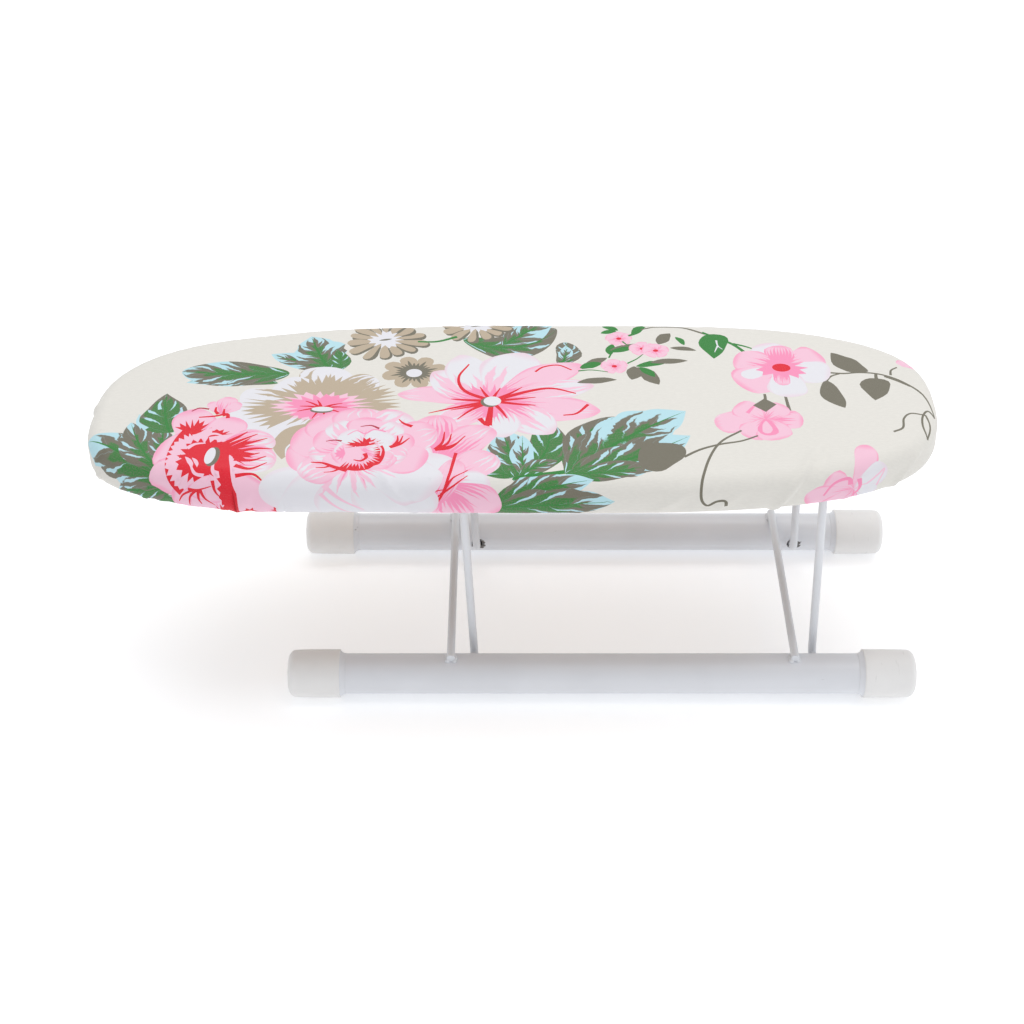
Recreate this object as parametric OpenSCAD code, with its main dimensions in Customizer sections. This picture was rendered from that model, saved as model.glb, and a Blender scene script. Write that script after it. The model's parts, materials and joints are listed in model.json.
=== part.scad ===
// Tabletop sleeve ironing board: a padded, fabric-covered board on two folding wire legs, over two foot tubes.
// Millimetres. X runs along the board, Y across it from front to rear, Z up from the table.
// The origin is the middle of the whole object's box, at the table.

/* [Board] */
// Length of the covered board
board_length = 500; // [460:5:540]
// Width of the covered board
board_width = 166; // [160:1:167]
// Height of the ironing surface above the table
surface_height = 176; // [170:1:190]
// Thickness of the wooden panel
panel_thickness = 8; // [6:0.5:9]
// Thickness of the foam pad
pad_thickness = 10.6; // [9:0.1:12]
// Thickness of the fabric cover
cover_thickness = 1; // [0.6:0.1:1.2]
// Radius of the soft edge round the ironing surface
top_round = 9; // [6:0.5:10]
// Radius of the edge where the cover turns under
bottom_round = 4; // [3.5:0.5:4]
// Depth of the hem's inner side below the panel
hem_drop = 3.2; // [1.8:0.1:3.4]
// Width of the hem under the board
hem_reach = 12; // [8:1:12]
// Diameter of the elastic that gathers the hem
elastic_d = 2.4; // [2:0.2:2.6]

/* [Feet] */
// Length of each foot, over its two caps
foot_length = 388; // [370:2:394]
// Middle of the feet along the board
foot_centre_x = 53.2; // [45:0.1:53.4]
// Distance between the two foot tubes, centre to centre
foot_pitch = 137; // [135:1:137]
// Diameter of the foot tubes
tube_d = 25; // [24:0.5:25]
// Wall of the foot tubes
tube_wall = 1.2; // [1:0.1:1.5]
// Diameter of the end caps
cap_d = 30; // [28:0.5:30]
// Length of an end cap, without its collar
cap_length = 33; // [28:1:36]

/* [Wires] */
// Diameter of the leg and cross wires
wire_d = 5; // [4.5:0.1:5.2]
// Place of the left leg's pivot along the board
left_pivot_x = -25.5; // [-40:0.5:-20]
// Distance between the two legs' pivots
leg_spacing = 211; // [200:1:211]
// Distance from a leg's pivot to its top bar
leg_reach = 138.3; // [137.9:0.1:138.4]
// Lean of the legs past upright, which holds the board up
lean = 2.5; // [2:0.1:3]
// Half the distance between the uprights of a leg
upright_y = 50; // [49:0.5:50]
// Distance of each cross wire to the left of the nearest pivot
cross_wire_offset = 14; // [10:0.5:16]

/* [Hidden] */
$fn = 64;

FRONT = -1;
REAR = 1;
LEFT = -1;
RIGHT = 1;

// Clearances: between layers of the board, beside moving wires, and round screws
layer_gap = 0.2;
running_gap = 0.3;
screw_gap = 0.05;

// Plan outline of the board: four superellipse quadrants that meet on the line x = waist_x.
// The left end is blunter and its tip lies towards the front.
outline_steps = 96;
waist_x = 40;
right_reach = board_length / 2 - waist_x;
left_reach = board_length / 2 + waist_x;
left_tip_y = -15;
right_rear_power = 2.95;
right_front_power = 2.75;
left_rear_power = 2.88;
left_front_power = 3.7;

// Heights of the layers, from the surface down
cover_inside_z = surface_height - cover_thickness;
pad_top_z = cover_inside_z - layer_gap;
panel_top_z = pad_top_z - pad_thickness - layer_gap;
panel_bottom_z = panel_top_z - panel_thickness;
layer_inset = cover_thickness + layer_gap;
hem_top_z = panel_bottom_z - hem_drop;
hem_thickness = 1.3;
hem_bottom_z = hem_top_z - hem_thickness;
round_steps = 5;
elastic_sides = 8;

// Feet
foot_y = foot_pitch / 2;
foot_z = cap_d / 2;
cap_wall = 3;
cap_round = 4.5;
cap_gap = 0.1;
collar_length = 3.5;
collar_d = tube_d + 2.6;
nub_d = 9;
nub_height = 0.6;
tube_length = foot_length - 2 * cap_wall - 2 * nub_height;

// Legs
right_pivot_x = left_pivot_x + leg_spacing;
pivot_hole_r = wire_d / 2 + 1;
foot_bend_r = 5;
top_bend_r = 8;
pin_end_y = foot_y - tube_d / 2 + 6;
bar_z = foot_z + leg_reach * cos(lean);
bar_shift = -leg_reach * sin(lean);
cross_wire_z = foot_z + tube_d / 2 + wire_d / 2;
cross_wire_length = foot_pitch + wire_d;

// Saddles that hold the top bars, and stops that the uprights lean on
saddle_y = 30;
saddle_w = 14;
saddle_wall = 1.2;
saddle_bore_r = wire_d / 2 + running_gap + 0.05;
saddle_reach = 13;
saddle_screw_x = 9;
stop_y = 46.5;
stop_w = 9;
stop_wall = 1.5;
stop_reach = 11;
stop_drop = 17;
stop_screw_x = 7;

// Screws
screw_r = 1.5;
screw_depth = 6;
screw_head_r = 2.7;
screw_head_h = 1.8;
recess_w = 0.7;
recess_l = 3;
recess_depth = 1;

// A point of the board's outline, drawn in from it by inset
function outline_point(i, inset) =
    let (turn = 360 * i / outline_steps, c = cos(turn), s = sin(turn),
         left = c < 0, front = s < 0,
         reach = (left ? left_reach : right_reach) - inset,
         tip_y = left ? left_tip_y : 0,
         half_w = board_width / 2 - inset - (front ? -tip_y : tip_y),
         power = left ? (front ? left_front_power : left_rear_power)
                      : (front ? right_front_power : right_rear_power),
         k = pow(pow(abs(c), power) + pow(abs(s), power), -1 / power))
    [waist_x + reach * c * k, tip_y + half_w * s * k];

function outline(inset) = [for (i = [0 : outline_steps - 1]) outline_point(i, inset)];

// Profile points [inset, z] of a rounded edge, from angle a0 to a1, whose upright side is at inset and z
function round_edge(inset, z, r, a0, a1) =
    [for (i = [0 : round_steps]) let (a = a0 + (a1 - a0) * i / round_steps)
        [inset + r * (1 - cos(a)), z + r * sin(a)]];

// Closed solid through one outline ring for each profile point [inset, z]
module loft(profile) {
    rings = len(profile);
    last = rings - 1;
    polyhedron(
        points = [for (p = profile, i = [0 : outline_steps - 1]) concat(outline_point(i, p[0]), [p[1]])],
        faces = concat(
            [[for (i = [0 : outline_steps - 1]) i]],
            [[for (i = [0 : outline_steps - 1]) last * outline_steps + outline_steps - 1 - i]],
            [for (k = [0 : last - 1], i = [0 : outline_steps - 1])
                let (j = (i + 1) % outline_steps)
                [k * outline_steps + i, (k + 1) * outline_steps + i,
                 (k + 1) * outline_steps + j, k * outline_steps + j]]),
        convexity = 4);
}

// ---- Board ----

// Where the screws enter the panel, one point each
function saddle_screw_points() =
    [for (x = [left_pivot_x, right_pivot_x], y = [-saddle_y, saddle_y], dx = [-saddle_screw_x, saddle_screw_x])
        [x + bar_shift + dx, y]];

function stop_screw_points() =
    [for (x = [left_pivot_x, right_pivot_x], y = [-stop_y, stop_y]) [stop_face_x(x) + stop_screw_x, y]];

// Face of a stop, a running gap from the leg's wire at the stop's lower end
function stop_face_x(pivot_x) = pivot_x + bar_shift + stop_drop * tan(lean) + wire_d / 2 + running_gap;

module board_panel() {
    color("burlywood")
    difference() {
        translate([0, 0, panel_bottom_z]) linear_extrude(panel_thickness) polygon(outline(layer_inset));
        for (p = concat(saddle_screw_points(), stop_screw_points()))
            translate([p[0], p[1], panel_bottom_z - 1]) cylinder(r = screw_r + screw_gap, h = screw_depth + 1.5);
    }
}

module foam_pad() {
    edge_r = top_round - layer_inset;
    color("white")
    loft(concat([[layer_inset, panel_top_z + layer_gap]],
                round_edge(layer_inset, pad_top_z - edge_r, edge_r, 0, 90)));
}

module fabric_cover() {
    inner_r = top_round - cover_thickness;
    under_r = bottom_round - cover_thickness;
    color("ivory")
    loft(concat(round_edge(cover_thickness, cover_inside_z - inner_r, inner_r, 90, 0),
                round_edge(cover_thickness, hem_top_z + under_r, under_r, 0, -90),
                [[hem_reach, hem_top_z], [hem_reach, hem_bottom_z]],
                round_edge(0, hem_bottom_z + bottom_round, bottom_round, -90, 0),
                round_edge(0, surface_height - top_round, top_round, 0, 90)));
}

// Closed cord that runs just inside the hem, all round the board
module cover_elastic() {
    r = elastic_d / 2;
    inset = hem_reach + layer_gap + r;
    z = hem_top_z - r;
    color("whitesmoke")
    polyhedron(
        points = [for (i = [0 : outline_steps - 1], k = [0 : elastic_sides - 1])
            let (a = 360 * k / elastic_sides)
            concat(outline_point(i, inset + r * cos(a)), [z + r * sin(a)])],
        faces = [for (i = [0 : outline_steps - 1], k = [0 : elastic_sides - 1])
            let (i2 = (i + 1) % outline_steps, k2 = (k + 1) % elastic_sides)
            [i * elastic_sides + k, i * elastic_sides + k2, i2 * elastic_sides + k2, i2 * elastic_sides + k]],
        convexity = 4);
}

// ---- Feet ----

module along_x() { rotate([0, 90, 0]) children(); }

module foot_tube(side) {
    inner_wall_y = foot_y - tube_d / 2;
    color([0.83, 0.84, 0.86])
    difference() {
        translate([foot_centre_x - tube_length / 2, side * foot_y, foot_z]) along_x()
            difference() {
                cylinder(d = tube_d, h = tube_length);
                translate([0, 0, -1]) cylinder(d = tube_d - 2 * tube_wall, h = tube_length + 2);
            }
        for (x = [left_pivot_x, right_pivot_x])
            translate([x, side * (inner_wall_y + 5), foot_z]) rotate([90 * side, 0, 0])
                cylinder(r = pivot_hole_r, h = 8);
    }
}

// Half profile of a cap: a rounded cup with a tapered collar at its mouth
module cap_profile() {
    r = cap_d / 2;
    bore_r = tube_d / 2 + cap_gap;
    difference() {
        union() {
            translate([0, nub_height]) square([r - cap_round, cap_length - nub_height]);
            translate([0, nub_height + cap_round]) square([r, cap_length - nub_height - cap_round]);
            translate([r - cap_round, nub_height + cap_round]) circle(r = cap_round);
            square([nub_d / 2, cap_length]);
            polygon([[0, cap_length - 1], [collar_d / 2, cap_length - 1], [collar_d / 2, cap_length],
                     [bore_r + 0.3, cap_length + collar_length], [0, cap_length + collar_length]]);
        }
        translate([0, nub_height + cap_wall]) square([bore_r, foot_length]);
        translate([-r, -1]) square([r, foot_length]);
    }
}

module end_cap(end, side) {
    color([0.9, 0.9, 0.88])
    translate([foot_centre_x + end * foot_length / 2, side * foot_y, foot_z]) rotate([0, -90 * end, 0])
        rotate_extrude() cap_profile();
}

module cross_wire(pivot_x) {
    color([0.86, 0.87, 0.89])
    translate([pivot_x - cross_wire_offset, -cross_wire_length / 2, cross_wire_z]) rotate([-90, 0, 0])
        cylinder(d = wire_d, h = cross_wire_length);
}

// ---- Legs ----

// Quarter bend of the wire in the YZ plane, from +Y to +Z about its centre
module quarter_bend(r) {
    rotate([90, 0, 90]) rotate_extrude(angle = 90) translate([r, 0]) circle(d = wire_d);
}

// Bent wire: a top bar, two uprights, and two pins that turn outwards into the foot tubes
module leg_wire(pivot_x) {
    bar_half = upright_y - top_bend_r;
    color([0.86, 0.87, 0.89])
    translate([pivot_x, 0, foot_z]) rotate([0, -lean, 0]) {
        translate([0, -bar_half, leg_reach]) rotate([-90, 0, 0]) cylinder(d = wire_d, h = 2 * bar_half);
        for (flip = [0, 1]) mirror([0, flip, 0]) {
            translate([0, bar_half, leg_reach - top_bend_r]) quarter_bend(top_bend_r);
            translate([0, upright_y, foot_bend_r])
                cylinder(d = wire_d, h = leg_reach - top_bend_r - foot_bend_r);
            translate([0, upright_y + foot_bend_r, foot_bend_r]) rotate([180, 0, 0])
                quarter_bend(foot_bend_r);
            translate([0, upright_y + foot_bend_r, 0]) rotate([-90, 0, 0])
                cylinder(d = wire_d, h = pin_end_y - upright_y - foot_bend_r);
        }
    }
}

// ---- Fittings under the board ----

// Strap with two ears that holds a top bar against the panel
module saddle(pivot_x, side) {
    outer_r = saddle_bore_r + saddle_wall;
    rise = panel_bottom_z - bar_z;
    color("silver")
    translate([pivot_x + bar_shift, side * saddle_y, bar_z])
    difference() {
        union() {
            rotate([90, 0, 0]) cylinder(r = outer_r, h = saddle_w, center = true);
            translate([-outer_r, -saddle_w / 2, 0]) cube([2 * outer_r, saddle_w, rise]);
            translate([-saddle_reach, -saddle_w / 2, rise - saddle_wall])
                cube([2 * saddle_reach, saddle_w, saddle_wall]);
        }
        rotate([90, 0, 0]) cylinder(r = saddle_bore_r, h = saddle_w + 2, center = true);
        translate([-saddle_bore_r, -saddle_w / 2 - 1, 0]) cube([2 * saddle_bore_r, saddle_w + 2, rise + 5]);
        translate([-outer_r - 1, -saddle_w / 2 - 1, rise]) cube([2 * outer_r + 2, saddle_w + 2, 5]);
        for (dx = [-saddle_screw_x, saddle_screw_x])
            translate([dx, 0, rise - saddle_wall - 1]) cylinder(r = screw_r + screw_gap, h = saddle_wall + 2);
    }
}

// Angle bracket: its ear is screwed to the panel, and an upright leans on its lip
module stop(pivot_x, side) {
    color("silver")
    translate([stop_face_x(pivot_x), side * stop_y - stop_w / 2, 0])
    difference() {
        union() {
            translate([0, 0, bar_z - stop_drop + 2]) cube([stop_wall, stop_w, panel_bottom_z - bar_z + stop_drop - 2]);
            translate([0, 0, panel_bottom_z - stop_wall]) cube([stop_reach, stop_w, stop_wall]);
        }
        translate([stop_screw_x, stop_w / 2, panel_bottom_z - stop_wall - 1])
            cylinder(r = screw_r + screw_gap, h = stop_wall + 2);
    }
}

// Pan head screw whose head meets the ear at z, with a crossed recess
module screw(x, y, z) {
    translate([x, y, z]) difference() {
        union() {
            cylinder(r = screw_r, h = screw_depth);
            translate([0, 0, -screw_head_h]) cylinder(r1 = screw_head_r - 0.7, r2 = screw_head_r, h = 0.7);
            translate([0, 0, 0.7 - screw_head_h]) cylinder(r = screw_head_r, h = screw_head_h - 0.7);
        }
        for (turn = [0, 90]) rotate(turn)
            translate([-recess_l / 2, -recess_w / 2, -screw_head_h - 1]) cube([recess_l, recess_w, recess_depth + 1]);
    }
}

module saddle_screws() {
    color("gainsboro") for (p = saddle_screw_points()) screw(p[0], p[1], panel_bottom_z - saddle_wall);
}

module stop_screws() {
    color("gainsboro") for (p = stop_screw_points()) screw(p[0], p[1], panel_bottom_z - stop_wall);
}

board_panel();
foam_pad();
fabric_cover();
cover_elastic();
foot_tube(FRONT);  // front_foot_tube
foot_tube(REAR);  // rear_foot_tube
end_cap(LEFT, FRONT);  // front_left_cap
end_cap(RIGHT, FRONT);  // front_right_cap
end_cap(LEFT, REAR);  // rear_left_cap
end_cap(RIGHT, REAR);  // rear_right_cap
cross_wire(left_pivot_x);  // left_cross_wire
cross_wire(right_pivot_x);  // right_cross_wire
leg_wire(left_pivot_x);  // left_leg_wire
leg_wire(right_pivot_x);  // right_leg_wire
saddle(left_pivot_x, FRONT);  // left_front_saddle
saddle(left_pivot_x, REAR);  // left_rear_saddle
saddle(right_pivot_x, FRONT);  // right_front_saddle
saddle(right_pivot_x, REAR);  // right_rear_saddle
saddle_screws();
stop(left_pivot_x, FRONT);  // left_front_stop
stop(left_pivot_x, REAR);  // left_rear_stop
stop(right_pivot_x, FRONT);  // right_front_stop
stop(right_pivot_x, REAR);  // right_rear_stop
stop_screws();
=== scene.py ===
"""Looks of a tabletop ironing board: its printed cover, pad, caps, welds, materials, camera and studio.

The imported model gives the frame. Lengths are in metres, and MM turns millimetres into them. The print is laid
out in millimetres on the cloth as it lies flat, with its origin at the middle of the board.
"""
import json
import math

import bpy
import numpy as np
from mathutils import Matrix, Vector
from mathutils.geometry import delaunay_2d_cdt
from mathutils.kdtree import KDTree

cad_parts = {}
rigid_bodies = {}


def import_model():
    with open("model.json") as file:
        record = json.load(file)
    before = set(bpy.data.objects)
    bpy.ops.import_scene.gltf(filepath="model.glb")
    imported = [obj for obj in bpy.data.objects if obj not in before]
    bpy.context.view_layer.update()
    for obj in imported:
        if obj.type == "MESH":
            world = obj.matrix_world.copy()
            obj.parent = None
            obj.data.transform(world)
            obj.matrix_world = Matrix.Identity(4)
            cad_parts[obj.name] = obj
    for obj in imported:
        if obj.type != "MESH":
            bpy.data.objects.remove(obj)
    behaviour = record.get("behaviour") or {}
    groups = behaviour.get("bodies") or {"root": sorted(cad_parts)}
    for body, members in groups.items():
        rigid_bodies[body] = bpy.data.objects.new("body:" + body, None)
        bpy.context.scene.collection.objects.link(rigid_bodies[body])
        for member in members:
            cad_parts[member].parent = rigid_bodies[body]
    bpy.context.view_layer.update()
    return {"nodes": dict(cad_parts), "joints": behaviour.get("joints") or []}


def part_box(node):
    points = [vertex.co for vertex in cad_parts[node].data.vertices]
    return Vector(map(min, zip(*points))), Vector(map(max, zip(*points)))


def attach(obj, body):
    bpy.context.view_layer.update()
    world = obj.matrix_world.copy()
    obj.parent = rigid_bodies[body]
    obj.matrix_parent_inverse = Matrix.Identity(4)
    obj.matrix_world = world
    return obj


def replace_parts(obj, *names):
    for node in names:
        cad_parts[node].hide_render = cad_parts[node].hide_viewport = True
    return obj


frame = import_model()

MM = 0.001


# ---- Meshes ----

def plain_object(name, points, faces):
    mesh = bpy.data.meshes.new(name)
    mesh.from_pydata([tuple(p) for p in points], [], faces)
    thing = bpy.data.objects.new(name, mesh)
    bpy.context.scene.collection.objects.link(thing)
    return thing


def new_piece(name, points, faces, material, body):
    piece = plain_object(name, points, faces)
    piece.data.validate()
    piece.data.materials.append(material)
    piece.data.polygons.foreach_set("use_smooth", [True] * len(piece.data.polygons))
    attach(piece, body)
    return piece


def grid_faces(rows, columns, closed=False):
    """Quads between rows of points that each run in a ring. closed joins the last row to the first."""
    corners = []
    for r in range(rows if closed else rows - 1):
        here, ahead = r * columns, (r + 1) % rows * columns
        corners += [(here + k, ahead + k, ahead + (k + 1) % columns, here + (k + 1) % columns)
                    for k in range(columns)]
    return corners


def turns_of(count):
    """Angles of count places round a full turn."""
    return 2 * math.pi * np.arange(count) / count


def point_tree(points):
    tree = KDTree(len(points))
    for index, (x, y) in enumerate(points):
        tree.insert((x, y, 0), index)
    tree.balance()
    return tree


def ring_area(points):
    """Area inside a ring of plan points, below 0 where it runs clockwise."""
    x, y = points[:, 0], points[:, 1]
    return np.sum(x * np.roll(y, -1) - np.roll(x, -1) * y) / 2


# ---- Camera and studio ----

FLOOR_REACH = 6


def make_camera():
    data = bpy.data.cameras.new("camera")
    data.lens = 66.8
    data.sensor_width = 36
    camera = bpy.data.objects.new("camera", data)
    camera.location = (-0.002, -0.9162, 0.8343)
    camera.rotation_euler = (math.radians(50.83), 0, 0)
    bpy.context.scene.collection.objects.link(camera)
    bpy.context.scene.camera = camera


def area_light(name, location, target, size, watts):
    data = bpy.data.lights.new(name, "AREA")
    data.shape = "RECTANGLE"
    data.size, data.size_y = size
    data.energy = watts
    light = bpy.data.objects.new(name, data)
    light.location = location
    aim = Vector(target) - Vector(location)
    light.rotation_mode = "QUATERNION"
    light.rotation_quaternion = aim.to_track_quat("-Z", "Y")
    bpy.context.scene.collection.objects.link(light)


def make_studio():
    scene = bpy.context.scene
    scene.view_settings.view_transform = "Standard"
    world = bpy.data.worlds.new("studio")
    world.use_nodes = True
    background = world.node_tree.nodes["Background"]
    background.inputs["Color"].default_value = (0.97, 0.98, 1, 1)
    background.inputs["Strength"].default_value = 0.7
    scene.world = world
    middle = (0, 0, 0.1)
    area_light("overhead", (0.1, 0.25, 1.6), middle, (1.8, 1.2), 12.5)
    area_light("front", (-0.5, -1.6, 1.1), middle, (1.2, 0.8), 0.6)
    area_light("side", (1.5, -0.3, 0.6), middle, (0.8, 0.8), 1.8)

    corners = [(x * FLOOR_REACH, y * FLOOR_REACH, 0) for x, y in ((-1, -1), (1, -1), (1, 1), (-1, 1))]
    floor = plain_object("floor", corners, [(0, 1, 2, 3)])
    floor.data.materials.append(floor_material())


# ---- Node materials ----

class Paint:
    """A material with a Principled shader, and short calls that add nodes to it."""

    def __init__(self, name, roughness=0.5, **sockets):
        self.material = bpy.data.materials.new(name)
        self.material.use_nodes = True
        self.tree = self.material.node_tree
        self.shader = self.tree.nodes["Principled BSDF"]
        self.shader.inputs["Roughness"].default_value = roughness
        for socket, value in sockets.items():
            self.shader.inputs[socket.replace("_", " ")].default_value = value

    def add(self, kind, inputs=(), **settings):
        node = self.tree.nodes.new("ShaderNode" + kind)
        for name, value in settings.items():
            setattr(node, name, value)
        for key, value in dict(inputs).items():
            if isinstance(value, bpy.types.NodeSocket):
                self.tree.links.new(value, node.inputs[key])
            else:
                node.inputs[key].default_value = value
        return node

    def math(self, operation, *values, clamp=False):
        """A math node of the operation on the values, which are numbers or sockets."""
        return self.add("Math", dict(enumerate(values)), operation=operation, use_clamp=clamp).outputs[0]

    def place(self):
        """The piece's own coordinates, in metres in the row frame."""
        return self.add("TexCoord").outputs["Object"]

    def field(self, name, kind="Fac"):
        """A value or vector that the mesh holds at each vertex."""
        return self.add("Attribute", attribute_name=name).outputs[kind]

    def chance(self, number):
        """A random value from 0 to 1 that belongs to each whole number."""
        return self.add("TexWhiteNoise", {"W": number}, noise_dimensions="1D").outputs["Value"]

    def noise(self, scale, detail, vector=None, stretch=None):
        where = vector or self.place()
        if stretch:
            where = self.add("VectorMath", {0: where, 1: stretch}, operation="MULTIPLY").outputs[0]
        return self.add("TexNoise", {"Vector": where, "Scale": scale, "Detail": detail}).outputs["Fac"]

    def ramp(self, value, low, high, to_low=0.0, to_high=1.0):
        return self.add("MapRange", {"Value": value, "From Min": low, "From Max": high, "To Min": to_low,
                                     "To Max": to_high}, interpolation_type="SMOOTHSTEP").outputs["Result"]

    def link(self, socket, value):
        self.tree.links.new(value, self.shader.inputs[socket])

    def bump(self, height, distance, strength=1.0, under=None):
        inputs = {"Height": height, "Distance": distance, "Strength": strength}
        if under:
            inputs["Normal"] = under
        return self.add("Bump", inputs).outputs["Normal"]


def rgb(red, green, blue):
    """Linear colour from the usual 0 to 255 values."""
    def linear(value):
        value /= 255
        return value / 12.92 if value <= 0.04045 else ((value + 0.055) / 1.055) ** 2.4
    return (linear(red), linear(green), linear(blue), 1)


def darker(colour, share):
    return tuple(c * share for c in colour[:3]) + (1,)


# Mix nodes name their colour sockets by place: 0 is the factor, 6 and 7 are the colours
def colour_mix(paint, amount, first, second):
    node = paint.tree.nodes.new("ShaderNodeMix")
    node.data_type = "RGBA"
    for index, value in ((0, amount), (6, first), (7, second)):
        if isinstance(value, bpy.types.NodeSocket):
            paint.tree.links.new(value, node.inputs[index])
        else:
            node.inputs[index].default_value = value
    return node.outputs[2]


def floor_material():
    paint = Paint("floor", 0.7)
    tint = paint.ramp(paint.noise(3.0, 3), 0.3, 0.7, 0.0, 1.0)
    paint.link("Base Color", colour_mix(paint, tint, (0.89, 0.90, 0.92, 1), (0.91, 0.92, 0.93, 1)))
    paint.shader.inputs["Emission Color"].default_value = (1, 1, 1, 1)
    paint.shader.inputs["Emission Strength"].default_value = 0.3
    return paint.material


def powder_coat(name, colour, wear_and_shade_spots=()):
    """White baked paint with a fine orange peel. The last argument lists (place, radius) of dark spots, in
    metres, which are worn paint and also painted shade of each pivot hole's gap.
    """
    paint = Paint(name, 0.4, Specular_IOR_Level=0.45, Coat_Weight=0.15, Coat_Roughness=0.25)
    cloud = paint.ramp(paint.noise(18, 3), 0.35, 0.65)
    base = colour_mix(paint, cloud, darker(colour, 0.955), colour)
    speck = paint.ramp(paint.noise(260, 2, stretch=(0.25, 1, 1)), 0.735, 0.765)
    speck = paint.math("MULTIPLY", speck, paint.ramp(paint.noise(9, 2), 0.5, 0.62))
    base = colour_mix(paint, paint.math("MULTIPLY", speck, 0.55), base, rgb(150, 150, 150))
    worn = speck
    # Dark grey spots round the pivot holes: worn paint, and painted shade of each hole's gap. worn gathers them
    # with the specks for roughness and dents.
    for place, radius in wear_and_shade_spots:
        away = paint.add("VectorMath", {0: paint.place(), 1: place}, operation="DISTANCE").outputs["Value"]
        ragged = paint.math("MULTIPLY_ADD", paint.noise(520, 3), 0.0045, -0.00225)
        edge = paint.math("ADD", away, ragged)
        wear_and_shade_spot = paint.ramp(edge, radius, radius - 0.0007)
        base = colour_mix(paint, wear_and_shade_spot, base, rgb(96, 94, 92))
        worn = paint.math("MAXIMUM", worn, wear_and_shade_spot)
    paint.link("Base Color", base)
    paint.link("Roughness", paint.math("ADD", paint.ramp(paint.noise(40, 3), 0.3, 0.7, 0.34, 0.46),
                                       paint.math("MULTIPLY", worn, 0.2)))
    peel = paint.bump(paint.noise(900, 2), 0.00012, 0.35)
    paint.link("Normal", paint.bump(paint.math("MULTIPLY", worn, -1.0), 0.00015, 0.8, under=peel))
    return paint.material


def moulded_plastic(name, colour):
    """Soft polyethylene: faint cloudiness, fine moulding texture and light scuffs."""
    paint = Paint(name, 0.5, Specular_IOR_Level=0.35, Subsurface_Weight=0.06, Subsurface_Scale=0.002,
                  Subsurface_Radius=(1, 1, 1))
    cloud = paint.ramp(paint.noise(30, 3), 0.3, 0.7)
    base = colour_mix(paint, cloud, darker(colour, 0.95), colour)
    scuff = paint.ramp(paint.noise(420, 3, stretch=(1, 0.2, 0.2)), 0.66, 0.72)
    base = colour_mix(paint, paint.math("MULTIPLY", scuff, 0.2), base, rgb(186, 186, 184))
    paint.link("Base Color", base)
    paint.link("Roughness", paint.ramp(paint.noise(60, 3), 0.3, 0.7, 0.42, 0.58))
    rings = paint.add("TexWave", {"Vector": paint.place(), "Scale": 130.0, "Distortion": 0.4,
                                  "Detail": 2.0}, bands_direction="X").outputs["Fac"]
    grain = paint.bump(paint.noise(1400, 2), 0.00008, 0.4)
    paint.link("Normal", paint.bump(rings, 0.00005, 0.5, under=grain))
    return paint.material


def plated_steel(name, colour, brushed):
    """Zinc plate: bright metal with a cloudy bloom and fine scratches along brushed."""
    paint = Paint(name, 0.35, Metallic=1.0)
    bloom = paint.ramp(paint.noise(120, 4), 0.35, 0.7)
    paint.link("Base Color", colour_mix(paint, bloom, darker(colour, 0.8), colour))
    lines = paint.noise(900, 2, stretch=brushed)
    paint.link("Roughness", paint.math("ADD", paint.ramp(bloom, 0, 1, 0.24, 0.42),
                                       paint.ramp(lines, 0.3, 0.7, -0.05, 0.05)))
    paint.link("Normal", paint.bump(lines, 0.00006, 0.5))
    return paint.material


def fibreboard():
    """Pressed wood fibre: brown flecks of several sizes, slightly fuzzy."""
    paint = Paint("fibreboard", 0.8, Specular_IOR_Level=0.25)
    fibre = paint.ramp(paint.noise(700, 4, stretch=(1, 0.35, 1)), 0.3, 0.7)
    patch = paint.ramp(paint.noise(45, 3), 0.3, 0.7)
    base = colour_mix(paint, fibre, rgb(142, 108, 72), rgb(192, 158, 116))
    paint.link("Base Color", colour_mix(paint, paint.math("MULTIPLY", patch, 0.35), base, rgb(160, 122, 84)))
    paint.link("Roughness", paint.ramp(fibre, 0, 1, 0.72, 0.9))
    paint.link("Normal", paint.bump(fibre, 0.00018, 0.6))
    return paint.material


def foam():
    """White foam: open cells as small pits."""
    paint = Paint("foam", 0.95, Sheen_Weight=0.2)
    cells = paint.add("TexVoronoi", {"Vector": paint.place(), "Scale": 900.0}).outputs["Distance"]
    patch = paint.ramp(paint.noise(25, 3), 0.3, 0.7)
    paint.link("Base Color", colour_mix(paint, patch, rgb(236, 233, 222), rgb(246, 244, 236)))
    paint.link("Roughness", paint.ramp(cells, 0, 0.6, 0.98, 0.88))
    paint.link("Normal", paint.bump(cells, 0.0004, 0.7))
    return paint.material


def braided_elastic():
    """White elastic: crossed braid lines."""
    paint = Paint("braided_elastic", 0.85, Sheen_Weight=0.3)
    braid = paint.add("TexWave", {"Vector": paint.place(), "Scale": 420.0, "Distortion": 1.5},
                      bands_direction="DIAGONAL").outputs["Fac"]
    paint.link("Base Color", colour_mix(paint, braid, rgb(205, 204, 200), rgb(240, 240, 238)))
    paint.link("Roughness", paint.ramp(braid, 0, 1, 0.9, 0.78))
    paint.link("Normal", paint.bump(braid, 0.0003, 0.8))
    return paint.material


# ---- Printed cotton ----

# Each corner of the cover's faces holds the number of its ink, and how far a rayed ink's two colours reach
RAYED_INKS = ["cloth", "petal", "tan_petal", "leaf"]
FLAT_INKS = {
    "crimson": rgb(222, 22, 46),
    "moss": rgb(116, 112, 98),
    "green": rgb(48, 128, 56),
    "tan": rgb(186, 170, 148),
    "white": rgb(226, 225, 230),
    "rose": rgb(243, 146, 184),
    "blush": rgb(240, 194, 213),
    "sky": rgb(182, 220, 229),
    "wine": rgb(178, 36, 62),
}
INKS = RAYED_INKS + list(FLAT_INKS)
RAMP_PLACES = 16  # the flat inks lie this many to the whole of their colour ramp
CLOTH_COLOUR = rgb(226, 223, 216)
THREAD_MM = 0.55


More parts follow.
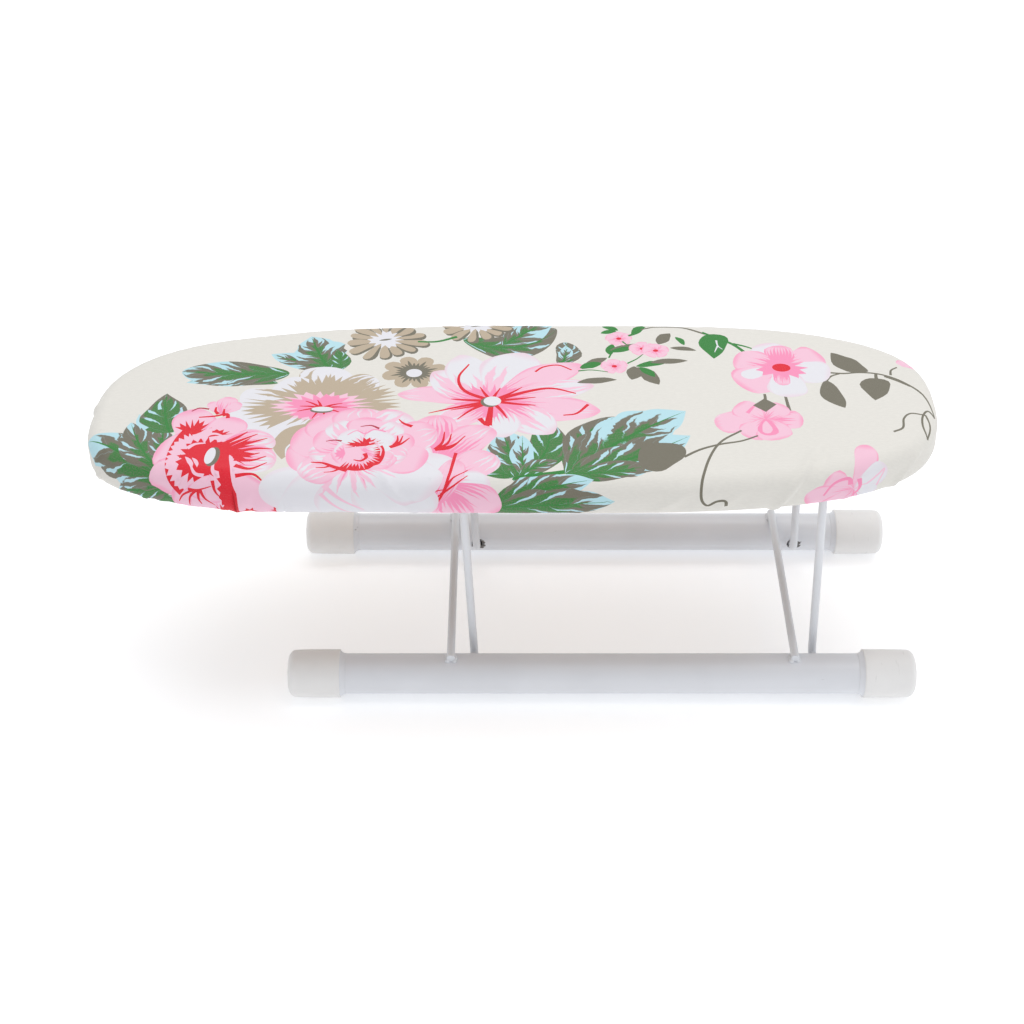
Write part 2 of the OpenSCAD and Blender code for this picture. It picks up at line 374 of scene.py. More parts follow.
def rays(paint, phase, reach, along, slope, soft=0.05, spread=0.34):
    """Mask of pointed rays: each is a cell of phase wide and narrows to its tip where along passes reach."""
    chance = paint.chance(paint.math("FLOOR", phase))
    ends = paint.math("ADD", reach, paint.math("MULTIPLY_ADD", chance, spread, -spread / 2))
    half = paint.math("MULTIPLY", paint.math("SUBTRACT", ends, along), slope)
    away = paint.math("SUBTRACT", 0.5, paint.math("PINGPONG", phase, 0.5))
    return paint.ramp(paint.math("SUBTRACT", half, away), -soft, soft)


def petal_rays(paint, along, across, seed, sway, first, second):
    """Masks of a petal's two colours, as rays from its base."""
    wide = paint.math("MULTIPLY_ADD", across, 2.6, paint.math("MULTIPLY_ADD", seed, 5.0, sway))
    fine = paint.math("MULTIPLY_ADD", across, 4.6, paint.math("MULTIPLY_ADD", seed, 9.0, sway))
    return rays(paint, wide, first, along, 1.5), rays(paint, fine, second, along, 1.3, 0.09)


def leaf_colour(paint, along, across, seed, sway, first, second):
    """Pale blue leaf, with moss and green that run out along its side veins in pointed fingers."""
    off = paint.math("ABSOLUTE", across)
    side = paint.math("MULTIPLY", paint.math("SIGN", across), 0.27)
    swept = paint.math("MULTIPLY_ADD", off, -1.45, paint.math("MULTIPLY", along, 4.4))
    phase = paint.math("ADD", paint.math("ADD", swept, side), paint.math("MULTIPLY_ADD", sway, 0.9, seed))
    outward = paint.math("MULTIPLY_ADD", off, 0.26, along)
    moss = rays(paint, phase, paint.math("ADD", first, 0.34), outward, 1.7, spread=0.5)
    inward = paint.math("MULTIPLY_ADD", off, 0.42, outward)
    green = rays(paint, paint.math("ADD", phase, 0.18), paint.math("ADD", second, 0.42), inward, 1.5, 0.1)
    # A few pale slivers between the veins, each with its own chance
    slot = paint.math("ADD", phase, 0.35)
    picked = paint.math("GREATER_THAN", paint.chance(paint.math("ROUND", slot)), 0.45)
    inner = paint.math("MULTIPLY", paint.ramp(off, 0.12, 0.6, 0.0, 0.13), paint.ramp(off, 0.9, 0.7))
    inner = paint.math("MULTIPLY", inner, picked)
    cut = paint.ramp(paint.math("SUBTRACT", paint.math("PINGPONG", slot, 0.5), inner), 0.02, -0.02)
    rib = paint.ramp(paint.math("MULTIPLY_ADD", along, 0.05, off), 0.09, 0.06)
    colour = colour_mix(paint, moss, FLAT_INKS["sky"], FLAT_INKS["moss"])
    mottle = paint.ramp(paint.noise(1.1, 3, vector=paint.field("cloth_mm", "Vector")), 0.40, 0.62, 1.0, 0.55)
    colour = colour_mix(paint, paint.math("MULTIPLY", green, mottle), colour, FLAT_INKS["green"])
    colour = colour_mix(paint, cut, colour, FLAT_INKS["sky"])
    return colour_mix(paint, rib, colour, FLAT_INKS["green"])


def printed_cotton():
    """Plain weave cotton, with its print. The cover holds each ink, and each place within a printed shape."""
    paint = Paint("printed_cotton", 0.85, Sheen_Weight=0.18, Sheen_Roughness=0.5, Specular_IOR_Level=0.25)
    cloth = paint.field("cloth_mm", "Vector")
    motif = paint.add("SeparateXYZ", {0: paint.field("motif", "Vector")}).outputs
    tone = paint.add("SeparateXYZ", {0: paint.field("tone", "Vector")}).outputs
    along, across, seed = motif["X"], motif["Y"], motif["Z"]
    ink, first, second = tone["X"], tone["Y"], tone["Z"]
    sway = paint.math("SUBTRACT", paint.noise(0.11, 3, vector=cloth), 0.5)

    slub = paint.noise(0.9, 4, vector=cloth, stretch=(0.35, 1, 1))
    base = colour_mix(paint, paint.ramp(slub, 0.35, 0.7), darker(CLOTH_COLOUR, 0.965), CLOTH_COLOUR)
    wide, fine = petal_rays(paint, along, across, seed, sway, first, second)
    rim = paint.ramp(paint.math("MAXIMUM", along, paint.math("ABSOLUTE", across)), 0.84, 1.0, 0.0, 0.45)
    rim = paint.math("MULTIPLY", rim, first, clamp=True)
    pink = colour_mix(paint, wide, FLAT_INKS["white"], FLAT_INKS["blush"])
    pink = colour_mix(paint, paint.math("MAXIMUM", fine, rim), pink, FLAT_INKS["rose"])
    tan = colour_mix(paint, wide, FLAT_INKS["white"], FLAT_INKS["tan"])
    tan = colour_mix(paint, fine, tan, FLAT_INKS["rose"])
    leaf = leaf_colour(paint, along, across, seed, sway, first, second)
    for name, colour in (("petal", pink), ("tan_petal", tan), ("leaf", leaf)):
        base = colour_mix(paint, paint.math("COMPARE", ink, INKS.index(name), 0.5), base, colour)
    first_flat = len(RAYED_INKS)
    place = paint.math("MULTIPLY_ADD", ink, 1 / RAMP_PLACES, (0.25 - first_flat) / RAMP_PLACES)
    flat = paint.add("ValToRGB", {0: place})
    ramp = flat.color_ramp
    ramp.interpolation = "CONSTANT"
    for number, colour in enumerate(FLAT_INKS.values()):
        stop = ramp.elements[number] if number < 2 else ramp.elements.new(number / RAMP_PLACES)
        stop.position = number / RAMP_PLACES
        stop.color = colour
    base = colour_mix(paint, paint.math("GREATER_THAN", ink, first_flat - 0.5), base, flat.outputs["Color"])
    worn = paint.ramp(paint.noise(1.6, 3, vector=cloth), 0.5, 0.75, 0.0, 0.08)
    base = colour_mix(paint, worn, base, CLOTH_COLOUR)

    # Threads: warp and weft as crossed waves
    turns = 2 * math.pi / THREAD_MM
    scaled = paint.add("VectorMath", {0: cloth, "Scale": turns}, operation="SCALE").outputs[0]
    axes = paint.add("SeparateXYZ", {0: scaled})
    warp = paint.math("SINE", axes.outputs["X"])
    weft = paint.math("SINE", axes.outputs["Y"])
    weave = paint.math("MULTIPLY", warp, weft)
    shade = paint.ramp(weave, -1, 1, 0.0, 0.055)
    base = colour_mix(paint, shade, base, rgb(150, 146, 134))
    paint.link("Base Color", base)
    paint.link("Roughness", paint.ramp(slub, 0.3, 0.7, 0.8, 0.92))
    threads = paint.bump(weave, 0.00007, 0.45)
    paint.link("Normal", paint.bump(slub, 0.00012, 0.35, under=threads))
    return paint.material


# ---- The cover's shape ----

cover_low, cover_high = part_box("fabric_cover")
HALF_LENGTH = cover_high.x / MM
HALF_WIDTH = cover_high.y / MM
TOP_Z = cover_high.z / MM
HEM_Z = cover_low.z / MM
WAIST_X = 40
LEFT_TIP_Y = -15
RIGHT_REAR_POWER = 2.95
RIGHT_FRONT_POWER = 2.75
LEFT_REAR_POWER = 2.88
LEFT_FRONT_POWER = 3.7
TOP_ROUND = 9
BOTTOM_ROUND = 5.5
HEM_REACH = 12
HEM_TUCK = math.radians(300)  # how far the hem turns round the elastic
CASING_R = 2.1
CASING_START = math.radians(-20)
SIDE_HEIGHT = TOP_Z - TOP_ROUND - HEM_Z - BOTTOM_ROUND

# Paths along the cloth, in millimetres out from the edge of the flat top, at which its profile changes
SIDE_TOP = TOP_ROUND * math.pi / 2
SIDE_BOTTOM = SIDE_TOP + SIDE_HEIGHT
HEM_START = SIDE_BOTTOM + BOTTOM_ROUND * math.pi / 2
CASING = HEM_START + HEM_REACH - BOTTOM_ROUND
CLOTH_END = CASING + CASING_R * HEM_TUCK
PRINT_END = CASING - 1.0


def outline(inset, turns):
    """Plan points of the board's outline drawn in by inset, in millimetres, as part.scad makes it."""
    c, s = np.cos(turns), np.sin(turns)
    left, front = c < 0, s < 0
    reach = np.where(left, HALF_LENGTH + WAIST_X, HALF_LENGTH - WAIST_X) - inset
    tip_y = np.where(left, LEFT_TIP_Y, 0.0)
    half_w = HALF_WIDTH - inset - np.where(front, -tip_y, tip_y)
    power = np.where(left, np.where(front, LEFT_FRONT_POWER, LEFT_REAR_POWER),
                     np.where(front, RIGHT_FRONT_POWER, RIGHT_REAR_POWER))
    k = (np.abs(c) ** power + np.abs(s) ** power) ** (-1 / power)
    return np.stack([WAIST_X + reach * c * k, tip_y + half_w * s * k], axis=-1)


def profile(path):
    """Inset, height and outward slope of the cloth's section at each path."""
    top = path / TOP_ROUND
    bottom = (path - SIDE_BOTTOM) / BOTTOM_ROUND
    loop = CASING_START + (path - CASING) / CASING_R
    zones = [path < SIDE_TOP, path < SIDE_BOTTOM, path < HEM_START, path < CASING]
    inset = np.select(zones, [TOP_ROUND * (1 - np.sin(top)), 0 * path, BOTTOM_ROUND * (1 - np.cos(bottom)),
                              BOTTOM_ROUND + path - HEM_START], HEM_REACH + CASING_R * np.sin(loop))
    height = np.select(zones, [TOP_Z - TOP_ROUND * (1 - np.cos(top)), TOP_Z - TOP_ROUND - path + SIDE_TOP,
                               HEM_Z + BOTTOM_ROUND * (1 - np.sin(bottom)), HEM_Z + 0 * path],
                       HEM_Z + 0.9 - 0.95 * CASING_R * np.cos(loop))
    slope = np.select(zones, [math.pi / 2 - top, 0 * path, -bottom, 0 * path - math.pi / 2],
                      loop - math.pi / 2)
    return inset, height, slope


class Edge:
    """The edge of the flat top, as a dense ring of points that turns are counted along."""

    COUNT = 5120

    def __init__(self):
        self.points = outline(TOP_ROUND, turns_of(self.COUNT))
        along = np.roll(self.points, -1, axis=0) - np.roll(self.points, 1, axis=0)
        lengths = np.linalg.norm(along, axis=1, keepdims=True)
        self.along = along / lengths
        self.outward = np.stack([self.along[:, 1], -self.along[:, 0]], axis=-1)
        self.step = lengths[:, 0] / 2
        self.distance = np.concatenate([[0], np.cumsum(self.step)[:-1]])
        self.length = self.step.sum()
        self.tree = point_tree(self.points)

    def find(self, places):
        """Turn, and path out from the edge (below 0 inside it), of each place on the flat cloth."""
        nearest = np.array([self.tree.find((x, y, 0))[1] for x, y in places])
        gap = places - self.points[nearest]
        turn = nearest + (gap * self.along[nearest]).sum(axis=1) / self.step[nearest]
        point, outward = self.at(turn)
        return turn % self.COUNT, ((places - point) * outward).sum(axis=1)

    def at(self, turn):
        """Point of the edge and its outward direction at each turn."""
        low = np.floor(turn).astype(int)
        share = (turn - low)[:, None]
        low, high = low % self.COUNT, (low + 1) % self.COUNT
        return (self.points[low] * (1 - share) + self.points[high] * share,
                self.outward[low] * (1 - share) + self.outward[high] * share)

    def place(self, turn, path):
        """Place on the flat cloth at each turn and path."""
        point, outward = self.at(turn)
        return point + outward * path[:, None]

    def ring(self, count, path):
        """Places of count points that run once round the flat cloth at one path."""
        return self.place(np.arange(count) * self.COUNT / count, np.full(count, path))


def smooth(value, low, high):
    """0 up to low, 1 from high, and a soft step between."""
    t = np.clip((value - low) / (high - low), 0, 1)
    return t * t * (3 - 2 * t)


# Creases in the cloth, in print millimetres: from, to, height, half width. Each is a ridge beside a hollow.
CREASES = [
    ((172, -52), (150, -98), 2.0, 2.8), ((236, -44), (228, -72), 1.6, 2.6),
    ((-82, -64), (-60, -98), 1.3, 2.4), ((40, -84), (22, -98), 1.1, 3.0), ((98, -84), (82, -98), 1.0, 3.4),
    ((-150, -82), (-160, -98), 1.1, 3.0), ((-204, -72), (-220, -88), 1.2, 2.6),
    ((214, 62), (228, 76), 1.0, 3.0), ((-178, 66), (-186, 84), 0.9, 3.0), ((-30, 80), (-38, 98), 0.9, 3.0),
    ((120, 78), (132, 98), 1.0, 3.2), ((-244, -6), (-262, -4), 1.0, 3.0), ((130, -84), (116, -96), 0.9, 2.6),
    ((-236, -50), (-252, -60), 1.2, 2.4), ((200, -72), (194, -92), 0.8, 2.6),
]

DEEPEST = -0.75  # how far the cloth may sink before it would meet the pad
CORNER_DEEPEST = -0.2  # and where it turns round the panel's lower edge
REST_LIFT = -0.35
# Puckers round the side and gathers round the hem: number of waves, height in millimetres
PUCKERS = ((23, 0.22), (37, 0.20), (58, 0.16), (91, 0.13))
GATHERS = ((118, 0.42), (167, 0.30))
SWELLS = 9
SWELL_HEIGHT = 0.09
LOOSE_X, LOOSE_REACH, LOOSE_HEIGHT = -160, 48, 2.2  # where the cover hangs a little loose on the front left


def crease_height(places):
    """How far the creases stand out at each place on the flat cloth."""
    height = np.zeros(len(places))
    for start, end, rise, half in CREASES:
        a, b = np.array(start, float), np.array(end, float)
        axis = (b - a) / np.linalg.norm(b - a)
        t = (places - a) @ axis
        away = (places - a) @ np.array([-axis[1], axis[0]])
        reach = smooth(t, -8, 12) * (1 - smooth(t, np.linalg.norm(b - a), np.linalg.norm(b - a) + 10))
        ridge = np.exp(-(away / half) ** 2)
        hollow = np.exp(-((away - 1.9 * half) / (1.3 * half)) ** 2)
        height += rise * reach * (ridge - 0.6 * hollow)
    return height


def cloth_lift(edge, slack, turn, path, places):
    """How far the cloth stands off its smooth shape: slack, creases, puckers, gathers and a slow swell."""
    rng = np.random.default_rng(11)
    around = 2 * math.pi * np.interp(turn, np.arange(edge.COUNT), edge.distance) / edge.length
    lift = from_grid(edge, slack, turn, path) + REST_LIFT
    # Puckers grow down the side, where the elastic draws the cloth in
    grow = smooth(path, 6, 30)
    for waves, size in PUCKERS:
        phase = rng.uniform(0, 2 * math.pi)
        lean = rng.uniform(-0.06, 0.06)
        strength = 0.55 + 0.45 * np.sin(around * rng.integers(2, 6) + rng.uniform(0, 6.28))
        lift += grow * size * strength * np.sin(around * waves + phase + lean * path)
    # Gathers: close folds on the hem, deepest at the casing
    gather = smooth(path, 24, 42)
    for waves, size in GATHERS:
        lift += gather * size * np.sin(around * waves + rng.uniform(0, 2 * math.pi))
    swell = np.zeros(len(turn))
    for _ in range(SWELLS):
        heading = rng.uniform(0, 2 * math.pi)
        wave = 2 * math.pi / rng.uniform(70, 160)
        swell += np.sin((places[:, 0] * math.cos(heading) + places[:, 1] * math.sin(heading)) * wave
                        + rng.uniform(0, 2 * math.pi))
    lift += SWELL_HEIGHT * swell * (1 - smooth(path, 10, 24))
    loose = LOOSE_HEIGHT * np.exp(-((places[:, 0] - LOOSE_X) / LOOSE_REACH) ** 2)
    lift += (places[:, 1] < 0) * loose * smooth(path, 6, 22) * (1 - smooth(path, 30, 42))
    lift += crease_height(places) * (1 - smooth(path, 34, 44))
    corner = smooth(path, SIDE_TOP + 2, SIDE_BOTTOM - 2) * (1 - smooth(path, HEM_START + 1, HEM_START + 4))
    return np.maximum(lift, DEEPEST + (CORNER_DEEPEST - DEEPEST) * corner)


# ---- Simulated slack ----

# The cloth is simulated at ten times its size, so that the solver's least distance is a tenth of a millimetre
SIM_SCALE = 10
SIM_AROUND = 480
SIM_PATHS = np.concatenate([[-10, -5, 0], np.linspace(2.5, CASING, 17)])
SIM_FRAMES = 24
SIM_CAP = (-0.45, 1.8)  # how far a point may move in and out, in millimetres
SIM_UNEVEN = 0.12  # how uneven the cloth starts
SIM_CORE_DEPTH = 0.6  # how far under the cloth the core lies that stops it


def simulated_slack(edge):
    """How far the cloth stands off its smooth shape, on a grid of turns and paths, from a cloth simulation.

    The cloth starts on its smooth shape but rests at its flat cut, which is longer round the ends, and its
    hem is held. The spare length buckles into folds.
    """
    rows = len(SIM_PATHS)
    turn = np.tile(np.arange(SIM_AROUND) * edge.COUNT / SIM_AROUND, rows)
    path = np.repeat(SIM_PATHS, SIM_AROUND)
    places = edge.place(turn, path)
    start, normals = smooth_cloth(edge, turn, path, places)
    still = (path <= SIM_PATHS[1]) | (path >= SIM_PATHS[-2])
    uneven = np.random.default_rng(3).uniform(-SIM_UNEVEN, SIM_UNEVEN, len(path)) * ~still
    faces = grid_faces(rows, SIM_AROUND)
    unit = SIM_SCALE * MM
    cloth = plain_object("slack_cloth", (start + uneven[:, None] * normals) * unit, faces)
    cloth.shape_key_add(name="start")
    flat = cloth.shape_key_add(name="flat")
    flat.data.foreach_set("co", (np.column_stack([places, np.zeros(len(places))]) * unit).ravel())
    held = cloth.vertex_groups.new(name="held")
    held.add(np.flatnonzero(still).tolist(), 1, "REPLACE")
    core = plain_object("slack_core", (start - SIM_CORE_DEPTH * normals) * unit, faces)
    core.modifiers.new("hit", "COLLISION")
    core.collision.thickness_outer = 0.002
    core.collision.damping = 1
    modifier = cloth.modifiers.new("slack", "CLOTH")
    settings = modifier.settings
    settings.quality = 8
    settings.mass = 0.3
    settings.tension_stiffness = settings.compression_stiffness = 30
    settings.shear_stiffness = 3
    settings.bending_stiffness = 0.05
    settings.rest_shape_key = flat
    settings.vertex_group_mass = "held"
    settings.effector_weights.gravity = 0
    settings.use_pressure = True
    settings.uniform_pressure_force = 0.1
    modifier.collision_settings.distance_min = 0.001
    modifier.collision_settings.use_self_collision = False
    modifier.point_cache.frame_start, modifier.point_cache.frame_end = 1, SIM_FRAMES
    scene = bpy.context.scene
    for frame_number in range(1, SIM_FRAMES + 1):
        scene.frame_set(frame_number)
    shaped = cloth.evaluated_get(bpy.context.evaluated_depsgraph_get())
    ends = np.empty(len(start) * 3)
    shaped.data.vertices.foreach_get("co", ends)
    moved = ((ends.reshape(-1, 3) / unit - start) * normals).sum(axis=1)
    scene.frame_set(1)
    for helper in (cloth, core):
        bpy.data.objects.remove(helper)
    return np.clip(moved, *SIM_CAP).reshape(rows, SIM_AROUND)


def from_grid(edge, grid, turn, path):
    """Values between a grid's turns and paths."""
    column = turn * SIM_AROUND / edge.COUNT
    row = np.interp(path, SIM_PATHS, np.arange(len(SIM_PATHS)))
    c, r = np.floor(column).astype(int), np.minimum(np.floor(row).astype(int), len(SIM_PATHS) - 2)
    share, rise = column - c, row - r
    near, far = c % SIM_AROUND, (c + 1) % SIM_AROUND
    low = grid[r, near] * (1 - share) + grid[r, far] * share
    high = grid[r + 1, near] * (1 - share) + grid[r + 1, far] * share
    return low * (1 - rise) + high * rise


def smooth_cloth(edge, turn, path, places):
    """Points and normals of the cloth with nothing lifting it, in millimetres."""
    inset, height, slope = profile(np.maximum(path, 0))
    ring, outward = edge.at(turn)
    plan = np.where((path > 0)[:, None], ring + outward * (TOP_ROUND - inset)[:, None], places)
    return np.column_stack([plan, height]), np.column_stack([outward * np.cos(slope)[:, None], np.sin(slope)])


def lay_cloth(edge, slack, turn, path, places):
    """Points of the cloth in the row frame, in millimetres, with its creases and its simulated slack."""
    points, normals = smooth_cloth(edge, turn, path, places)
    return points + normals * cloth_lift(edge, slack, turn, path, places)[:, None]


# ---- The print ----

# The design is drawn as it looks from the front, so past the front edge it is drawn in to lie on the side
FRONT_EDGE_Y = -72
SIDE_SHARE = 0.76


def laid(drawn):
    """Where drawn points lie on the flat cloth."""
    x, y = drawn[:, 0], drawn[:, 1]
    return np.column_stack([x, np.where(y < FRONT_EDGE_Y, FRONT_EDGE_Y + (y - FRONT_EDGE_Y) * SIDE_SHARE, y)])


def drawn(places):
    """The reverse of laid."""
    x, y = places[:, 0], places[:, 1]
    return np.column_stack([x, np.where(y < FRONT_EDGE_Y, FRONT_EDGE_Y + (y - FRONT_EDGE_Y) / SIDE_SHARE, y)])


# Outline forms of petals and leaves: how fast they widen, and how late and how sharply they close
FORMS = {"petal": (0.6, 3.6, 0.5), "drop": (0.7, 2.4, 0.7), "leaf": (0.7, 1.7, 0.95),
         "heart": (0.38, 1.25, 1.0), "spoon": (1.1, 6, 0.5), "bean": (0.5, 2.2, 0.6)}


def form_width(u, form):
    """Half width at share u of the way from base to tip, as a share of the greatest."""
    rise, fall, close = FORMS[form]

    def raw(share):
        return share ** rise * (1 - share ** fall) ** close

    return raw(np.clip(u, 0, 1)) / raw(np.linspace(0, 1, 101)).max()


def curve(path, steps=6):
    """Smooth line through the path's points, which are x, y, x, y and so on, or pairs."""
    p = np.array(path, float).reshape(-1, 2)
    if len(p) == 2:
        return np.linspace(p[0], p[1], 5)
    p = np.vstack([2 * p[0] - p[1], p, 2 * p[-1] - p[-2]])
    t = np.linspace(0, 1, steps, endpoint=False)[:, None]
    line = []
    for a, b, c, d in zip(p, p[1:], p[2:], p[3:]):
        bend, twist = 2 * a - 5 * b + 4 * c - d, 3 * b - a - 3 * c + d
        line.append(0.5 * (2 * b + (c - a) * t + bend * t ** 2 + twist * t ** 3))
    return np.vstack(line + [p[-2:-1]])


class Blade:
    """A petal or leaf that runs from base to tip."""

    def __init__(self, base, tip, half, bend, form, lobes):
        self.base, self.half, self.bend, self.form = np.array(base, float), half, bend, form
        span = np.array(tip, float) - self.base
        self.length = np.linalg.norm(span)
        self.axis = span / self.length
        self.across = np.array([-self.axis[1], self.axis[0]])
        self.seed = (base[0] * 0.137 + tip[0] * 0.071 + tip[1] * 0.193) % 1
        u = (1 - np.cos(np.linspace(0, math.pi, max(9, int(self.length / 2)))))[:, None] / 2
        scallop = 0.16 * (np.abs(np.sin(math.pi * u * lobes)) - 0.5) * (lobes > 0)
        wide = half * form_width(u, form) * (1 + scallop)
        ripple = 0.09 * np.sin((7 + 4 * self.seed) * u + 6.3 * self.seed)
        middle = self.base + self.axis * u * self.length + self.across * bend * 4 * u * (1 - u)
        left = middle + self.across * wide * (1 + ripple)
        right = middle - self.across * wide * (1 - ripple)
        self.outline = np.vstack([left, right[-2:0:-1]])

    def coordinates(self, places):
        """Share along from the base, share across from the middle, and the shape's own number."""
        gap = drawn(places) - self.base
        u = gap @ self.axis / self.length
        held = np.clip(u, 0, 1)
        across = gap @ self.across - self.bend * 4 * held * (1 - held)
        return u, across / (self.half * form_width(held, self.form) + 0.2), np.full(len(u), self.seed)


class Print:
    """The printed shapes in the order they are laid, back to front, in millimetres on the flat cloth."""

    def __init__(self):
        self.shapes = []

    def lay(self, ink, shape, blade=None, first=0.0, second=0.0):
        ring = laid(shape)
        if ring_area(ring) < 0:
            ring = ring[::-1]
        self.shapes.append((ring, (INKS.index(ink), first, second), blade))

    def blade(self, ink, base, tip, half, bend=0.0, first=0.0, second=0.0, form="petal", lobes=0):
        shape = Blade(base, tip, half, bend, form, lobes)
        self.lay(ink, shape.outline, shape, first, second)

    def leaves(self, *rows):
        """Leaves, each from x, y to tip_x, tip_y, with half width, bend, reach of moss and of green."""
        for x, y, tip_x, tip_y, *rest in rows:
            half, bend, moss, green, form, lobes = rest + ["leaf", 0][len(rest) - 4:]
            self.blade("leaf", (x, y), (tip_x, tip_y), half, bend, moss, green, form, lobes)

    def petals(self, base, *rows, ink="petal", form="petal"):
        """Petals from a base, each to tip_x, tip_y, with half width, bend, reach of pale and deep rays."""
        for tip_x, tip_y, half, bend, first, second in rows:
            self.blade(ink, base, (tip_x, tip_y), half, bend, first, second, form)

    def stroke(self, ink, path, start, end):
        """A brush stroke along a path, whose half width runs from start to end."""
        line = curve(path)
        ahead = np.gradient(line, axis=0)
        ahead /= np.linalg.norm(ahead, axis=1, keepdims=True)
        side = np.column_stack([-ahead[:, 1], ahead[:, 0]]) * np.linspace(start, end, len(line))[:, None]
        self.lay(ink, np.vstack([line + side, (line - side)[::-1]]))

    def strokes(self, ink, start, end, *paths):
        for path in paths:
            self.stroke(ink, path, start, end)

    def oval(self, ink, centre, half_x, half_y, turn=0.0):
        a = np.linspace(0, 2 * math.pi, 25)[:-1]
        x, y = half_x * np.cos(a), half_y * np.sin(a)
        c, s = math.cos(turn), math.sin(turn)
        self.lay(ink, np.column_stack([centre[0] + x * c - y * s, centre[1] + x * s + y * c]))

    def fringe(self, ink, centre, inner, outer, start, end, teeth, bite, stretch=(1, 1), inward=False):
        """A band round centre, from start to end in degrees, with teeth on its outer or inner side."""
        steps = np.arange(2 * teeth + 1)
        turns = np.radians(np.linspace(start, end, len(steps)))
        directions = np.column_stack([np.cos(turns), np.sin(turns)])
        depth = bite * (0.7 + 0.3 * np.sin(2.4 * steps)) * (steps % 2)
        toothed, plain = (inner + depth, outer) if inward else (outer - depth, inner)
        ring = toothed[:, None] * directions
        if inner > 0:
            ring = np.vstack([ring, plain * directions[::-1]])
        elif end - start >= 360:
            ring = ring[:-1]
        else:
            ring = np.vstack([ring, [[0, 0]]])
        self.lay(ink, np.array(centre, float) + ring * np.array(stretch))


def print_left_leaves(p):
    p.leaves(
        (-192, -92, -222, -102, 9, 0, 1.2, 0.8), (-196, -84, -242, -84, 12, -2, 0.7, 0.45),
        (-198, -80, -250, -38, 20, -3, 0.62, 0.40, "leaf", 4), (-202, -70, -224, -25, 12, 2, 0.75, 0.35),
        (-200, -66, -206, -30, 9, -1, 1.0, 0.5), (-200, -35, -207, 4, 15, 2, 1.5, 0.85, "heart"))
    p.stroke("sky", (-220, -17, -220, -25, -214, -31), 0.5, 1.6)
    p.stroke("sky", (-209, -3, -210, -7, -209, -12), 0.4, 1.2)
    p.leaves(
        (-142, 14, -197, 15, 7, -4, 0.7, 0.3), (-136, 24, -201, 26, 12, 1, 0.74, 0.5, "bean"),
        (-110, 32, -149, 45, 8, 2, 0.55, 0.35), (-112, 28, -126, 64, 16, 1, 0.62, 0.40, "leaf", 4),
        (-107, 26, -109, 50, 6, -2, 1.2, 1.0))


def print_tan_flower(p):
    p.petals(
        (-116, -10), (-112, 31, 17, 0, 0.8, 0.0), (-138, 18, 13, 2, 0.7, 0.0),
        (-84, 20, 12, 0, 1.1, 0.0), (-163, 2, 12, 2, 0.75, 0.0), (-168, -22, 17, 0, 0.45, 0.0),
        (-148, -44, 15, 0, 0.5, 0.0), ink="tan_petal")
    p.fringe("tan", (-114, -8), 0, 47, -24, 52, 11, 17, (1, 0.72))
    p.fringe("tan", (-116, -9), 0, 46, 165, 232, 8, 16, (1, 0.62))
    p.fringe("tan", (-114, -8), 0, 31, 52, 165, 12, 11, (1, 1))
    p.fringe("tan", (-114, -14), 0, 26, -60, 0, 5, 6, (1, 0.8))
    p.fringe("blush", (-114, -9), 0, 24, 0, 360, 23, 11, (1.3, 0.62))
    p.fringe("rose", (-114, -10), 0, 19, 10, 370, 19, 8, (1.25, 0.7))
    for x, y in ((-128, -14), (-124, -4), (-117, -3), (-127, -9), (-101, -16), (-99, -10), (-102, -6),
                 (-119, -21), (-111, -21)):
        p.stroke("crimson", (-114, -11, (-114 + x) / 2, (-11 + y) / 2 + 0.8, x, y), 1.1, 0.25)
    p.oval("moss", (-114, -13), 6.6, 2.6)
    p.oval("white", (-113.5, -11.8), 6.4, 2.3)
    p.blade("tan", (-120, -26), (-133, -60), 8, -5, form="leaf")
    p.stroke("white", (-126, -42, -131, -49, -131, -57), 0.9, 0.3)
    p.stroke("white", (-123, -36, -127, -44, -128, -50), 0.8, 0.3)


